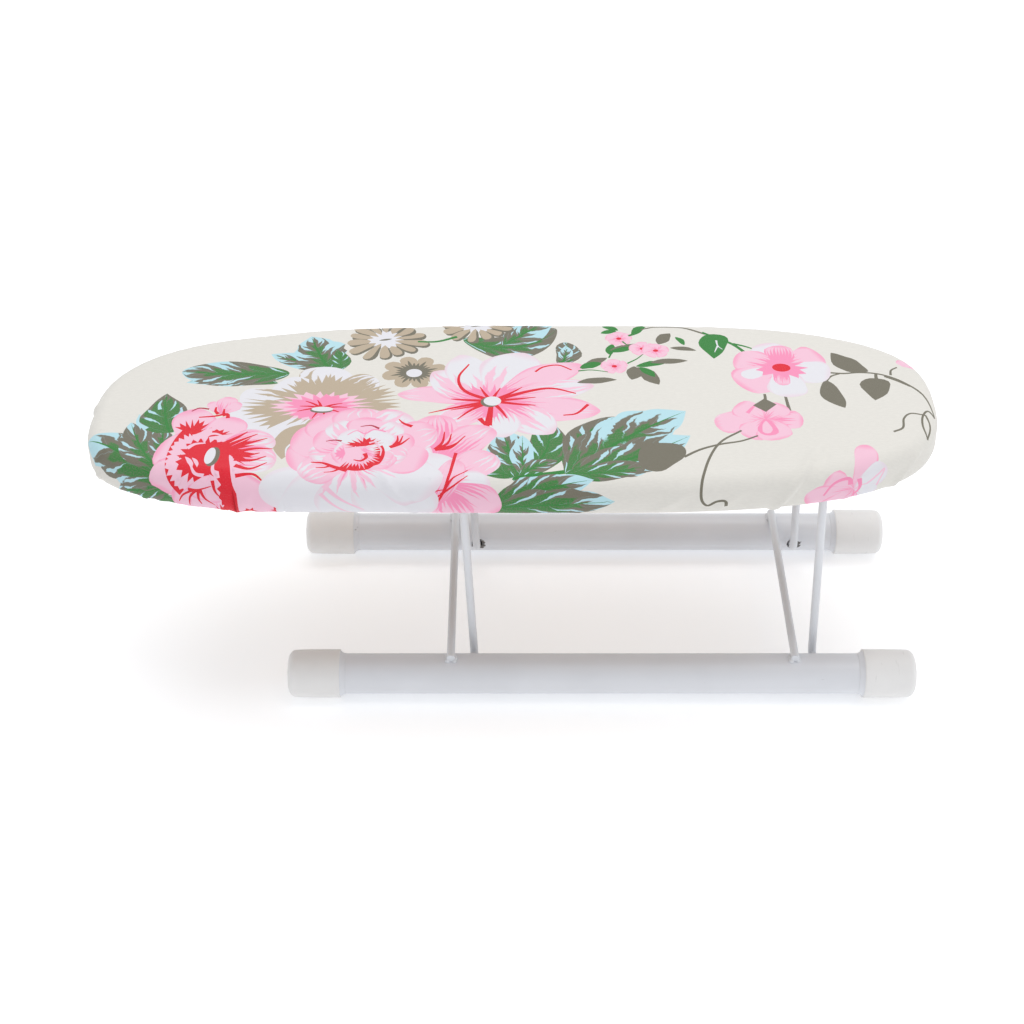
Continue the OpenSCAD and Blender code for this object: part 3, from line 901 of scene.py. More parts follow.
def print_red_rose(p):
    p.petals(
        (-176, -58), (-190, -12, 13, 2, 1.6, 0.3), (-164, -20, 12, 0, 1.6, 0.35),
        (-205, -50, 17, 0, 1.6, 0.2), (-203, -84, 16, 0, 1.6, 0.2), (-186, -118, 16, 0, 1.6, 0.2),
        (-139, -40, 12, 2, 1.0, 0.75), (-136, -62, 13, 0, 1.0, 0.75), (-162, -120, 15, 0, 1.6, 0.3),
        (-134, -108, 15, -5, 1.3, 0.2))
    p.petals((-172, -17), (-180, -5, 4, 0, 1.6, 0.3), (-169, 0, 6, 0, 1.6, 0.6), (-162, -6, 4, 0, 1.6, 0.4))
    p.strokes(
        "crimson", 0.5, 1.2, (-185, -20, -176, -19, -169, -17, -168, -21),
        (-176, -10, -176, -14, -174, -17), (-171, -12, -171, -16, -170, -19))
    p.stroke("wine", (-190, -14, -186, -11, -180, -12), 0.4, 0.7)
    # Crimson folds round the heart, from the outside in
    rose = (-176, -60)
    p.fringe("crimson", rose, 15, 24, 130, 232, 17, 6, (0.95, 1.7), inward=True)
    p.fringe("blush", (-179, -60), 13, 21.5, 118, 262, 15, 3.5, (0.95, 1.36))
    p.fringe("crimson", (-187, -37), 0, 14, 10, 150, 8, 8, (0.9, 1.1))
    p.fringe("crimson", (-168, -52), 0, 22, -50, 36, 8, 12, (0.9, 1.0))
    p.fringe("crimson", (-178, -60), 0, 16, 0, 360, 21, 5, (0.95, 1.32))
    p.fringe("crimson", (-172, -38), 0, 8, 20, 200, 7, 4, (1.2, 0.8))
    p.strokes(
        "blush", 1.5, 0.5, (-188, -50, -184, -46, -178, -45), (-174, -40, -168, -42, -166, -50),
        (-176, -74, -181, -72, -184, -66), (-168, -76, -171, -70, -171, -62),
        (-181, -38, -174, -36, -169, -38))
    p.blade("blush", (-188, -58), (-183, -69), 1.5, 1, form="leaf")
    p.blade("blush", (-184, -59), (-180, -68), 1.2, 1, form="leaf")
    p.blade("blush", (-187, -40), (-176, -31), 3.4, -2, form="bean")
    p.petals((-180, -80), (-192, -100, 8, 1, 1.6, 0.1), (-178, -106, 8, 0, 1.6, 0.1))
    p.petals((-172, -74), (-182, -92, 8, 0, 1.6, 0.1), (-171, -96, 5, 0, 1.6, 0.1))
    p.fringe("crimson", (-160, -84), 0, 16, 100, 260, 12, 5, (0.55, 2.0))
    p.stroke("crimson", (-168, -44, -165, -62, -162, -84, -163, -112), 3.4, 4.4)
    p.fringe("crimson", (-169, -112), 0, 10, 10, 170, 8, 5, (0.9, 1.5))
    p.blade("blush", (-163, -56), (-151, -104), 4.6, 2, form="drop")
    p.strokes(
        "crimson", 1.7, 0.3, (-164, -50, -152, -44, -143, -40), (-162, -54, -150, -50, -139, -50),
        (-160, -60, -150, -61, -142, -57), (-159, -66, -150, -69, -141, -63),
        (-158, -75, -148, -74, -141, -82), (-168, -46, -160, -39, -155, -34),
        (-166, -48, -158, -42, -149, -36), (-161, -58, -152, -56, -146, -54))
    p.strokes(
        "crimson", 1.1, 0.3, (-181, -84, -186, -90, -188, -98), (-179, -84, -177, -92, -172, -98),
        (-186, -83, -180, -84, -172, -82), (-180, -84, -181, -92, -180, -97),
        (-171, -78, -170, -86, -167, -92), (-183, -84, -190, -88, -194, -94))
    p.fringe("crimson", (-133, -112), 0, 10, 60, 150, 4, 5, (0.8, 1.6))
    p.fringe("crimson", (-152, -106), 0, 5, 20, 160, 3, 2.5)
    p.oval("moss", (-172.4, -58), 3.8, 9.2, -0.1)
    p.oval("white", (-174, -57.2), 2.9, 7.8, -0.1)


def print_peony(p):
    p.petals(
        (-90, -62), (-142, -96, 20, 4, 0.25, 0.12), (-124, -122, 24, 0, 0.3, 0.15),
        (-90, -126, 24, 0, 0.35, 0.2), (-56, -118, 22, 0, 0.3, 0.2), (-44, -88, 20, 0, 0.4, 0.2))
    p.stroke("blush", (-108, -84, -98, -96, -86, -106), 1.6, 0.3)
    p.stroke("blush", (-110, -90, -102, -102, -92, -112), 1.2, 0.3)
    p.petals(
        (-90, -50), (-130, -62, 16, 2, 1.6, 0.25), (-128, -36, 15, 4, 1.6, 0.35),
        (-114, -18, 15, 2, 1.6, 0.3), (-90, -11, 17, 0, 1.2, 0.4), (-64, -16, 15, 0, 1.0, 0.4),
        (-46, -32, 14, -3, 1.2, 0.45), (-50, -60, 14, -3, 1.6, 0.3), (-120, -78, 13, 0, 1.1, 0.2))
    p.petals(
        (-88, -48), (-118, -56, 11, 3, 1.0, 0.5), (-116, -38, 10, 3, 1.6, 0.6),
        (-106, -25, 10, 1, 0.9, 0.5), (-86, -20, 11, 0, 1.6, 0.5), (-68, -26, 10, -1, 0.9, 0.6),
        (-58, -42, 9, -2, 1.6, 0.5), (-62, -58, 10, -2, 1.0, 0.5), (-106, -68, 10, 0, 1.6, 0.4),
        (-72, -68, 10, 0, 1.3, 0.4))
    p.petals(
        (-88, -52), (-104, -60, 9, 1, 1.6, 0.55), (-102, -45, 9, 1, 0.8, 0.4),
        (-70, -60, 8, -1, 1.2, 0.5))
    # White petals folded over the heart, with pale edges
    p.petals(
        (-86, -50), (-98, -33, 8, 2, 0.5, 0.1), (-76, -33, 9, -2, 0.45, 0.1),
        (-71, -45, 6, -1, 0.3, 0.1))
    p.stroke("rose", (-97, -37, -92, -33, -87, -36, -82, -32, -75, -34), 0.3, 0.6)
    p.oval("blush", (-95, -55), 7.5, 9.5, 0.3)
    p.fringe("rose", (-97, -55), 0, 8, 110, 250, 6, 4, (0.8, 1.1))
    p.fringe("crimson", (-90, -55), 9, 15.5, -128, 28, 15, 6, (1.0, 1.06), inward=True)
    p.fringe("crimson", (-86, -48), 0, 10, 24, 190, 9, 6, (1.2, 0.85))
    p.fringe("blush", (-88, -52), 0, 6, 120, 300, 5, 2, (1.3, 0.8))
    p.strokes("crimson", 0.4, 1.3, (-92, -61, -88, -62, -85, -59, -86, -55))
    p.strokes("blush", 0.8, 0.3, (-80, -46, -77, -51, -77, -57), (-84, -45, -81, -44, -78, -46))
    p.strokes("crimson", 0.4, 1.8, (-116, -63, -109, -64, -102, -68, -95, -71))
    p.strokes("crimson", 0.9, 0.3, (-104, -66, -108, -68, -113, -68), (-99, -69, -103, -72, -108, -73))
    p.strokes(
        "crimson", 1.3, 0.3, (-72, -49, -67, -45, -65, -38), (-72, -49, -66, -46, -61, -40),
        (-70, -48, -68, -43, -68, -38), (-60, -29, -65, -26, -68, -22))
    p.strokes("wine", 0.8, 0.3, (-79, -31, -84, -28, -90, -29), (-100, -43, -104, -42, -109, -43))


def print_pink_petals(p):
    p.petals(
        (-46, -70), (-46, -18, 14, 0, 1.3, 0.9), (-14, -30, 12, 3, 1.2, 0.7),
        (-62, -44, 10, 2, 0.6, 0.2))
    p.petals(
        (-44, -84), (-12, -56, 13, 0, 1.1, 0.5), (-14, -86, 12, 2, 0.5, 0.3),
        (-12, -112, 14, 4, 1.6, 0.6), (-36, -124, 15, 0, 1.6, 0.7), (-62, -116, 13, 0, 1.2, 0.6))
    p.petals((-48, -104), (-50, -54, 15, -2, 0.35, 0.2), (-34, -60, 8, -2, 1.3, 0.6))
    p.blade("rose", (-52, -88), (-52, -64), 5.5, 0, form="petal")
    p.strokes(
        "crimson", 1.3, 0.3, (-46, -51, -42, -44, -41, -34), (-46, -51, -39, -45, -37, -36),
        (-46, -51, -37, -49, -29, -38), (-45, -50, -38, -48, -33, -44))
    p.strokes("crimson", 0.5, 1.0, (-48, -106, -40, -88, -34, -54))
    p.strokes(
        "crimson", 0.9, 0.3, (-40, -88, -35, -78, -27, -70), (-42, -92, -34, -84, -27, -76),
        (-52, -96, -46, -90, -40, -88), (-50, -100, -44, -94, -40, -90))


def print_hibiscus(p):
    eye = (-14, -4)
    p.petals(
        eye, (-70, 3, 8, -2, 1.2, 0.3), (-50, 26, 12, 3, 0.9, 0.5), (-34, 44, 14, 2, 0.55, 0.3),
        (6, 46, 19, 0, 0.55, 0.2), (40, 34, 11, 3, 1.3, 0.35), (47, 12, 10, 2, 0.9, 0.4),
        (50, -14, 12, -2, 1.25, 0.45), (22, -36, 13, 2, 0.8, 0.5), (-6, -40, 12, 0, 0.5, 0.55),
        (-46, -26, 11, 2, 1.0, 0.5), form="drop")
    p.fringe("rose", eye, 0, 22, 0, 360, 21, 13, (1.1, 0.8))
    p.strokes("crimson", 1.5, 0.5, [eye, (-30, 6), (-34, 20), (-28, 34)], [eye, (8, 6), (22, 9), (36, 4)])
    p.strokes(
        "crimson", 1.5, 0.3, [eye, (-34, -10), (-51, -16)], [eye, (-26, -13), (-34, -22)],
        [eye, (-8, -14), (-5, -21)], [eye, (2, -7), (12, -8)], [eye, (-30, -3), (-38, -2)],
        [eye, (-4, 3), (4, 10)], [eye, (-18, 3), (-21, 10)], [eye, (-12, 2), (-9, 9)],
        [eye, (0, -2), (12, 0)], [eye, (-24, -9), (-38, -13)])
    p.strokes("crimson", 1.2, 2.4, [eye, (-15, -18), (-16, -28)])
    p.strokes("crimson", 1.6, 0.4, (-21, -21, -17, -28, -13, -34), (-16, -24, -16, -30, -13, -34))
    p.stroke("crimson", (12, 26, 17, 31, 26, 33, 34, 28), 0.7, 0.5)
    p.stroke("crimson", (28, -18, 36, -16, 43, -7), 0.5, 1.0)
    p.oval("moss", (-15.2, -5), 5.4, 5.0)
    p.oval("white", (-13.6, -4), 5.2, 4.6)


def print_daisies(p):
    for (x, y), reach, squash, count in (((-80, 61), 25, 0.86, 14), ((-24, 76), 24, 0.7, 13)):
        for k in range(count):
            turn = 2 * math.pi * k / count + 0.24
            size = 1 + 0.12 * math.sin(5 * k)
            tip = (x + size * reach * math.cos(turn), y + size * reach * squash * math.sin(turn))
            half = reach * 0.15
            p.blade("moss", (x, y), (tip[0] + 0.8, tip[1] - 1.2), half * 1.05, form="spoon")
            half *= 0.7 if k % 3 == 0 else 0.86
            p.blade("tan", (x, y), (tip[0] - 0.4, tip[1] + 0.4), half, form="spoon")
        p.fringe("white", (x, y), 0, reach * 0.46, 0, 360, count, reach * 0.24, (1, squash))
        p.blade("moss", (x - 4, y - 1), (x + 4, y + 1), 0.9, form="leaf")
    x, y = -61, 26
    for k in range(8):
        turn = 2 * math.pi * k / 8 + 0.3
        tip = (x + 20 * math.cos(turn), y + 17 * math.sin(turn))
        p.blade("tan", (x, y), tip, 5.2)
    for k in range(24):
        turn = 2 * math.pi * k / 24 + 0.3
        size = 1.0 if k % 3 else 1.3
        tip = (x + 11.5 * size * math.cos(turn), y + 10 * size * math.sin(turn))
        p.blade("moss", (x, y), tip, 1.1, form="leaf")
    p.oval("moss", (x, y), 7.2, 6.2)
    p.oval("white", (x, y - 1), 4.8, 4.3)
    p.stroke("green", (-60, 59, -48, 59, -36, 64), 0.7, 1.1)


def print_middle_leaves(p):
    p.leaves(
        (-32, 60, 26, 72, 14, -14, 1.3, 0.45, "bean"), (-8, 54, 24, 86, 11, 0, 0.5, 0.25),
        (28, 33, 31, 58, 8, -3, 1.0, 0.3, "bean"), (29, 36, 31, 54, 4.5, -1, 0.4, 0.2))
    p.stroke("green", (26, 31, 29, 37, 30, 40), 1.0, 0.6)
    p.leaves(
        (2, -78, -8, -32, 13, 0, 0.55, 0.35), (0, -78, -22, -58, 7, 3, 1.2, 0.9),
        (4, -78, 19, -25, 12, -6, 1.4, 0.9, "bean"), (4, -76, 4, -38, 7, 0, 0.35, 0.2),
        (2, -76, 24, -62, 6, 2, 1.5, 0.5), (-2, -80, 20, -76, 6, 0, 1.5, 1.2))
    p.stroke("green", (0, -80, 14, -76, 34, -71), 2.4, 2.0)
    p.leaves(
        (30, -72, 60, -20, 13, 4, 1.0, 0.5, "bean"), (28, -74, 100, -14, 21, 3, 0.52, 0.38, "leaf", 5),
        (30, -74, 101, -38, 15, -3, 0.66, 0.42, "leaf", 4), (28, -74, 74, -66, 9, -2, 1.6, 0.7, "bean"))
    p.blade("moss", (96, -48), (72, -68), 12, -2, form="bean")
    p.leaves(
        (-14, -100, 44, -80, 12, 2, 0.62, 0.5, "leaf", 4), (-14, -112, 42, -116, 11, 0, 0.7, 0.5),
        (-16, -104, 56, -98, 14, 0, 0.8, 0.55, "leaf", 4))


def print_sprigs(p):
    for base, tip, half, ink in (
            ((40, 29), (56, 41), 3.4, "moss"), ((39, 30), (53, 35), 3.2, "green"),
            ((37, 15), (61, 18), 3.0, "moss"), ((58, 44), (60, 56), 3.0, "green"),
            ((58, 49), (79, 55), 3.0, "moss"), ((58, 47), (74, 52), 2.6, "green"),
            ((72, 32), (70, 18), 4.8, "moss"), ((74, 31), (86, 13), 5.0, "moss"),
            ((75, 31), (84, 21), 2.8, "green"), ((73, 32), (92, 36), 2.8, "green"),
            ((82, 36), (105, 38), 2.8, "moss"), ((88, 56), (96, 68), 4.2, "moss"),
            ((99, 64), (104, 55), 2.0, "green"), ((95, 52), (111, 49), 2.2, "moss"),
            ((53, 68), (63, 70), 2.2, "green"), ((54, 76), (64, 71), 2.6, "green"),
            ((72, 66), (80, 78), 2.0, "green")):
        p.blade(ink, base, tip, half, 0.8, form="leaf")
    for x, y in ((64, 62), (78, 51), (86, 49), (60, 32)):
        for k in range(5):
            turn = 2 * math.pi * k / 5 + 0.4
            p.petals((x, y), (x + 8.5 * math.cos(turn), y + 7.5 * math.sin(turn), 4, 0, 1.6, 0.5))
        p.oval("crimson", (x, y), 1.6, 1.3)
    p.strokes(
        "green", 0.6, 0.3, (38, 27, 46, 28, 56, 26), (68, 35, 74, 40, 78, 45), (66, 59, 68, 56, 70, 54),
        (57, 41, 59, 46, 62, 50))
    p.stroke("green", (70, 65, 76, 69, 80, 76), 0.8, 1.6)
    p.stroke("moss", (78, 72, 88, 75, 104, 74, 118, 67), 0.5, 0.8)
    p.stroke("green", (116, 69, 124, 63, 135, 54, 146, 37), 0.8, 1.2)
    p.stroke("green", (134, 56, 141, 53, 149, 48), 0.9, 0.5)
    p.blade("green", (123, 67), (121, 40), 9, form="heart")
    p.strokes("white", 0.6, 0.2, (124, 60, 124.5, 54, 127, 50), (124.4, 54, 123, 50, 122, 47))


def print_right_flowers(p):
    p.stroke("moss", (160, 4, 160.5, -6, 161, -15), 0.8, 1.1)
    p.petals(
        (161, 31), (152, 56, 11, 0, 0.7, 0.3), (133, 40, 12, 0, 1.6, 0.6), (135, 10, 15, 0, 1.6, 0.3),
        (187, 44, 13, 0, 1.6, 0.5), (162, 54, 9, 0, 1.6, 0.9), (190, 24, 12, 0, 0.3, 0.1),
        (164, 0, 12, 0, 0.4, 0.2), (160, 12, 5, 0, 1.6, 0.8))
    p.blade("white", (156, 28), (136, 22), 5, 0)
    p.fringe("rose", (161, 31), 0, 15, 0, 360, 13, 8, (1.1, 0.9))
    p.oval("crimson", (161, 30.5), 5.6, 4.2)
    p.petals(
        (146, -22), (116, -26, 10, 0, 1.3, 0.2), (132, -6, 9, 2, 1.6, 0.3), (168, -24, 9, 0, 1.6, 0.7),
        (158, -8, 8, 0, 1.6, 0.4), (134, -40, 9, 0, 1.6, 0.3), (152, -42, 11, 0, 1.6, 0.3))
    p.blade("rose", (146, -22), (147, -38), 6, 0)
    p.blade("blush", (146, -24), (146, -36), 3, 0)
    p.stroke("rose", (136, -16, 140, -10, 142, -8), 1.2, 0.4)
    p.stroke("moss", (148, 3, 148, -1, 147.5, -4), 0.8, 1.0)
    p.lay("moss", np.array([(140, -8.5), (147.5, -1.5), (154, -7.5), (147, -15)]))
    p.stroke("moss", (140, -38, 130, -43, 118, -46, 106, -51, 96, -58), 0.6, 0.9)
    p.stroke("moss", (131, -33, 118, -44, 110, -60, 105, -80, 105, -95, 109, -102, 114, -98, 119, -97,
                      120, -102), 0.7, 1.0)


def print_right_vine(p):
    p.petals(
        (196, -82), (201, -47, 7, 0, 1.6, 0.1), (213, -62, 8, 0, 0.3, 0.1), (214, -84, 9, 0, 0.3, 0.1),
        (176, -76, 9, 0, 1.6, 0.2), (168, -98, 11, 0, 1.6, 0.3), (190, -110, 13, 0, 1.6, 0.3))
    p.stroke("rose", (178, -90, 182, -78, 190, -73, 193, -78), 0.6, 1.8)
    p.stroke("rose", (197, -88, 200, -80, 197, -72), 0.8, 1.6)
    p.stroke("blush", (204, -76, 209, -68, 212, -64, 212, -76), 0.7, 0.6)
    p.blade("moss", (213, 27), (193, 47), 7, 3, form="leaf")
    p.blade("moss", (186, 18), (194, -11), 6.4, -2, form="leaf")
    p.blade("moss", (217, 20), (213, -3), 9, 0, form="heart")
    p.petals((240, 30), (232, 38, 3, 0, 1.6, 0.2), (246, 36, 3, 0, 1.6, 0.2))
    p.strokes(
        "moss", 0.75, 0.55, (188, 26, 198, 25, 208, 26, 220, 24, 232, 16, 242, 2, 247, -18),
        (186, 16, 190, 22, 196, 25), (222, 22, 229, 17, 236, 11), (226, 23, 227, 28, 231, 31),
        (219, -34, 225, -30, 227, -21, 232, -16, 240, -18),
        (247, -18, 242, -14, 238, -20, 237, -30, 240, -38), (240, -38, 242, -28, 240, -18))
    p.stroke("moss", (217.5, 25, 217, 22, 217, 18), 0.9, 1.1)


def print_rear_side(p):
    """The design's far edge, which lies down the board's rear side."""
    p.leaves(
        (-150, 92, -196, 84, 9, 3, 0.8, 0.5), (-150, 94, -188, 104, 10, -2, 0.62, 0.4, "leaf", 4),
        (-52, 96, -12, 106, 10, 3, 0.7, 0.45, "leaf", 4), (-54, 98, -92, 92, 8, -3, 1.0, 0.6, "bean"),
        (182, 92, 150, 104, 9, 2, 0.7, 0.5))
    p.stroke("moss", (64, 92, 92, 98, 122, 96, 152, 90, 176, 92), 0.6, 0.9)
    for x, y, turn in ((84, 97, 1.0), (104, 98, -1.1), (128, 95, 0.9), (144, 92, -1.0)):
        tip = (x + 13 * math.cos(turn), y + 13 * math.sin(turn))
        p.blade("moss" if turn > 0 else "green", (x, y), tip, 3.8, 0.8, form="leaf")
    for x, y, reach in ((-140, 96, 19), (-52, 104, 15), (40, 98, 17), (196, 84, 15)):
        for k in range(6):
            turn = 2 * math.pi * k / 6 + 0.01 * x
            p.petals((x, y), (x + reach * math.cos(turn), y + 0.9 * reach * math.sin(turn), reach * 0.5, 1,
                              1.6 if k % 2 else 0.6, 0.5))
        p.fringe("rose", (x, y), 0, reach * 0.5, 0, 360, 13, reach * 0.24)
        p.oval("crimson", (x, y), reach * 0.17, reach * 0.14)


def floral_print():
    """The whole design, back to front."""
    design = Print()
    for draw in (print_rear_side, print_middle_leaves, print_left_leaves, print_daisies, print_tan_flower,
                 print_red_rose, print_hibiscus, print_pink_petals, print_peony, print_sprigs,
                 print_right_vine, print_right_flowers):
        draw(design)
    return design.shapes


# ---- Cutting the cover along its print ----

LATTICE = 2.4  # distance between free points on the flat top
RING_COUNT = 600  # points of each ring
CLEAR = 0.9  # distance kept between free points and the outlines
HEM_ROWS = 12  # rows of faces past the print's end


def free_places(edge, printed):
    """Points between the printed outlines: a lattice on the flat top, and rings down the sides."""
    paths = np.concatenate([
        np.linspace(0, SIDE_TOP, 9), np.linspace(SIDE_TOP, SIDE_BOTTOM, 5)[1:],
        np.linspace(SIDE_BOTTOM, HEM_START, 4)[1:], np.linspace(HEM_START, PRINT_END, 4)[1:-1]])
    rings = [edge.ring(RING_COUNT, path) for path in paths]
    rows = np.arange(-HALF_WIDTH, HALF_WIDTH, LATTICE * math.sqrt(3) / 2)
    columns = np.arange(-HALF_LENGTH, HALF_LENGTH, LATTICE)
    lattice = np.array([(x + LATTICE / 2 * (r % 2), y) for r, y in enumerate(rows) for x in columns])
    _, path = edge.find(lattice)
    free = np.vstack([lattice[path < -LATTICE * 0.6]] + rings)
    tree = point_tree(printed)
    return free[[tree.find((x, y, 0))[2] > CLEAR for x, y in free]]


def border_loop(faces):
    """The outer edge of a disc of faces, in order."""
    ahead = {}
    used = {(face[k], face[(k + 1) % 3]) for face in faces for k in range(3)}
    for a, b in used:
        if (b, a) not in used:
            ahead[a] = b
    loop = [next(iter(ahead))]
    while len(loop) < len(ahead):
        loop.append(ahead[loop[-1]])
    return loop


def cut_cover(edge, shapes):
    """Places, triangles and each triangle's top shape (or -1), with edges along every printed outline."""
    border = edge.ring(RING_COUNT, PRINT_END)
    outlines = [outline for outline, _, _ in shapes]
    printed = np.vstack(outlines)
    places = np.vstack([border, printed, free_places(edge, printed)])
    loops, start = [list(range(RING_COUNT))], RING_COUNT
    for outline in outlines:
        loops.append(list(range(start, start + len(outline))))
        start += len(outline)
    coords, _, faces, _, _, inside = delaunay_2d_cdt([Vector(p) for p in places], [], loops, 1, 1e-4)
    kept = [(face, max(loop) - 1) for face, loop in zip(faces, inside) if 0 in loop]
    used = sorted({v for face, _ in kept for v in face})
    number = {v: k for k, v in enumerate(used)}
    triangles = [tuple(number[v] for v in face) for face, _ in kept]
    return np.array([coords[v][:] for v in used]), triangles, np.array([top for _, top in kept])


def make_cover(elastic):
    """The printed cover: its cut top and sides, and below them the rows of its hem."""
    edge = Edge()
    shapes = floral_print()
    places, faces, top = cut_cover(edge, shapes)
    turn, path = edge.find(places)
    slack = simulated_slack(edge)
    points = [lay_cloth(edge, slack, turn, path, places)]
    all_places = [places]
    loop = np.array(border_loop(faces))
    below = loop
    count = len(places)
    for row in np.linspace(PRINT_END, CLOTH_END, HEM_ROWS + 1)[1:]:
        along = np.full(len(loop), row)
        ring = edge.place(turn[loop], along)
        points.append(lay_cloth(edge, slack, turn[loop], along, ring))
        all_places.append(ring)
        next_row = count + np.arange(len(loop))
        count += len(loop)
        faces += [(int(a), int(b), int(c), int(d)) for a, b, c, d in zip(
            below, next_row, np.roll(next_row, -1), np.roll(below, -1))]
        below = next_row
    cover = new_piece("printed_cover", np.vstack(points) * MM, faces, printed_cotton(), "board")
    mesh = cover.data
    corners = np.empty(len(mesh.loops), int)
    mesh.loops.foreach_get("vertex_index", corners)
    all_places = np.vstack(all_places)
    sides = np.array([len(face) for face in faces])
    ink_of_face = np.concatenate([top, np.full(len(faces) - len(top), -1)])
    ink_of_corner = np.repeat(ink_of_face, sides)
    motif, tone = np.zeros((len(corners), 3)), np.zeros((len(corners), 3))
    for number, (_, ink, blade) in enumerate(shapes):
        chosen = ink_of_corner == number
        tone[chosen] = ink
        if blade:
            motif[chosen] = np.column_stack(blade.coordinates(all_places[corners[chosen]]))
    flat = np.column_stack([all_places, np.zeros(len(all_places))])
    layers = (("motif", motif, "CORNER"), ("tone", tone, "CORNER"), ("cloth_mm", flat, "POINT"))
    for name, values, domain in layers:
        layer = mesh.attributes.new(name, "FLOAT_VECTOR", domain)
        layer.data.foreach_set("vector", values.astype(np.float32).ravel())
    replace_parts(cover, "fabric_cover")
    cut = edge.ring(edge.COUNT, CLOTH_END) * MM


# ---- Pad and elastic ----

PAD_AROUND = 240
ELASTIC_AROUND = 420
ELASTIC_R = 1.1


def make_pad():
    """Foam pad: domed layer with a rolled edge, between the panel and the cover."""
    low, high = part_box("foam_pad")
    turns = turns_of(PAD_AROUND)
    inset = HALF_LENGTH - high.x / MM
    bottom, top = low.z / MM, high.z / MM
    radius = TOP_ROUND - inset
    section = [(inset + 30, bottom + 0.05), (inset + 1.2, bottom + 0.05), (inset + 0.3, bottom + 0.6)]
    for a in np.radians(range(0, 91, 15)):
        section.append((inset + 0.2 + radius * (1 - math.cos(a)), top - 0.3 - radius + radius * math.sin(a)))
    section += [(inset + 22, top - 0.12), (inset + 45, top - 0.05)]
    rings = [np.column_stack([outline(i, turns), np.full(PAD_AROUND, z)]) for i, z in section]
    rows = len(rings)
    faces = grid_faces(rows, PAD_AROUND)
    half = PAD_AROUND // 2
    for start, flip in ((0, True), ((rows - 1) * PAD_AROUND, False)):
        strip = [(0, 1, PAD_AROUND - 1), (half - 1, half, half + 1)]
        strip += [(i, i + 1, PAD_AROUND - i - 1, PAD_AROUND - i) for i in range(1, half - 1)]
        faces += [tuple(start + i for i in (face[::-1] if flip else face)) for face in strip]
    faces = [face[::-1] for face in faces]
    pad = new_piece("foam_layer", np.vstack(rings) * MM, faces, foam(), "board")
    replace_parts(pad, "foam_pad")


def closed_tube(path, radius, sides, twist, bumps):
    """Points and faces of a twisted cord along a closed level path of (n, 3) points."""
    ahead = np.roll(path, -1, axis=0) - np.roll(path, 1, axis=0)
    ahead /= np.linalg.norm(ahead, axis=1, keepdims=True)
    rise = np.array([0, 0, 1.0])
    out = np.cross(ahead, rise)
    strands = []
    for a in turns_of(sides):
        wave = 1 + bumps * np.sin(twist * np.arange(len(path)) + 2 * a)
        strands.append(path + (out * math.cos(a) + rise * math.sin(a)) * (radius * wave)[:, None])
    return np.stack(strands, axis=1).reshape(-1, 3), grid_faces(len(path), sides, closed=True)


def make_elastic():
    """Braided elastic inside the hem's casing."""
    plan = outline(HEM_REACH, turns_of(ELASTIC_AROUND))
    path = np.column_stack([plan, np.full(len(plan), HEM_Z + 0.8)]) * MM
    points, faces = closed_tube(path, ELASTIC_R * MM, 10, twist=1.9, bumps=0.07)
    elastic = new_piece("hem_elastic", points, faces, braided_elastic(), "board")
    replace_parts(elastic, "cover_elastic")
    return elastic


# ---- Caps and welds ----

CAP_SIDES = 96
CAP_COLLAR = 3.5  # how far the CAD cap's collar reaches past its mouth
BEAD_RINGS = 8
BEAD_SIDES = 14
BEAD_STEP = 2.1


def lathe(section, sides):
    """Points and faces of a solid turned about X from (x, radius) points that start and end on the axis."""
    inner = section[1:-1]
    points = [(section[0][0], 0, 0)] + turned(inner, sides) + [(section[-1][0], 0, 0)]
    last = len(points) - 1
    faces = [tuple(1 + v for v in face[::-1]) for face in grid_faces(len(inner), sides)]
    for k in range(sides):
        j = (k + 1) % sides
        faces += [(0, 1 + j, 1 + k), (last - sides + k, last - sides + j, last)]
    return points, faces


def ring(section, sides):
    """Points and faces of a closed ring turned about X from a closed section of (x, radius) points."""
    return turned(section, sides), [face[::-1] for face in grid_faces(len(section), sides, closed=True)]


def turned(section, sides):
    return [(x, radius * math.cos(a), radius * math.sin(a)) for x, radius in section for a in turns_of(sides)]


def cap_section(length, radius, tube_radius):
    """Section of a cap, in millimetres: its domed end with a low nub, its body, its mouth and its bore."""
    wall, round_x, round_r = 3.6, 4.6, 5.2
    section = [(0, 0), (0.04, 1.4), (0.16, 2.8), (0.5, 4.0), (0.85, 5.2), (1.0, 6.6), (1.1, radius - round_r)]
    for a in np.radians(range(12, 91, 13)):
        section.append((1.1 + round_x * (1 - math.cos(a)), radius - 0.3 - round_r * (1 - math.sin(a))))
    return section + [
        (length * 0.35, radius - 0.12), (length * 0.6, radius - 0.02), (length * 0.85, radius - 0.02),
        (length - 0.7, radius), (length - 0.2, radius - 0.12), (length, radius - 0.45),
        (length, radius - 1.3), (length - 0.5, tube_radius + 0.1), (wall, tube_radius + 0.1), (wall, 0)]


def flare_section(start, radius, tube_radius):
    """Section of the painted tube's swelling where it enters a cap's mouth: a closed ring."""
    inner = tube_radius - 0.1
    return [
        (start - 0.6, inner), (start - 0.6, radius - 1.4), (start, radius - 0.85),
        (start + 0.35, radius - 1.1), (start + 0.9, tube_radius + 0.95), (start + 1.6, tube_radius + 0.5),
        (start + 2.5, tube_radius + 0.2), (start + 3.4, tube_radius + 0.04), (start + 3.4, inner)]


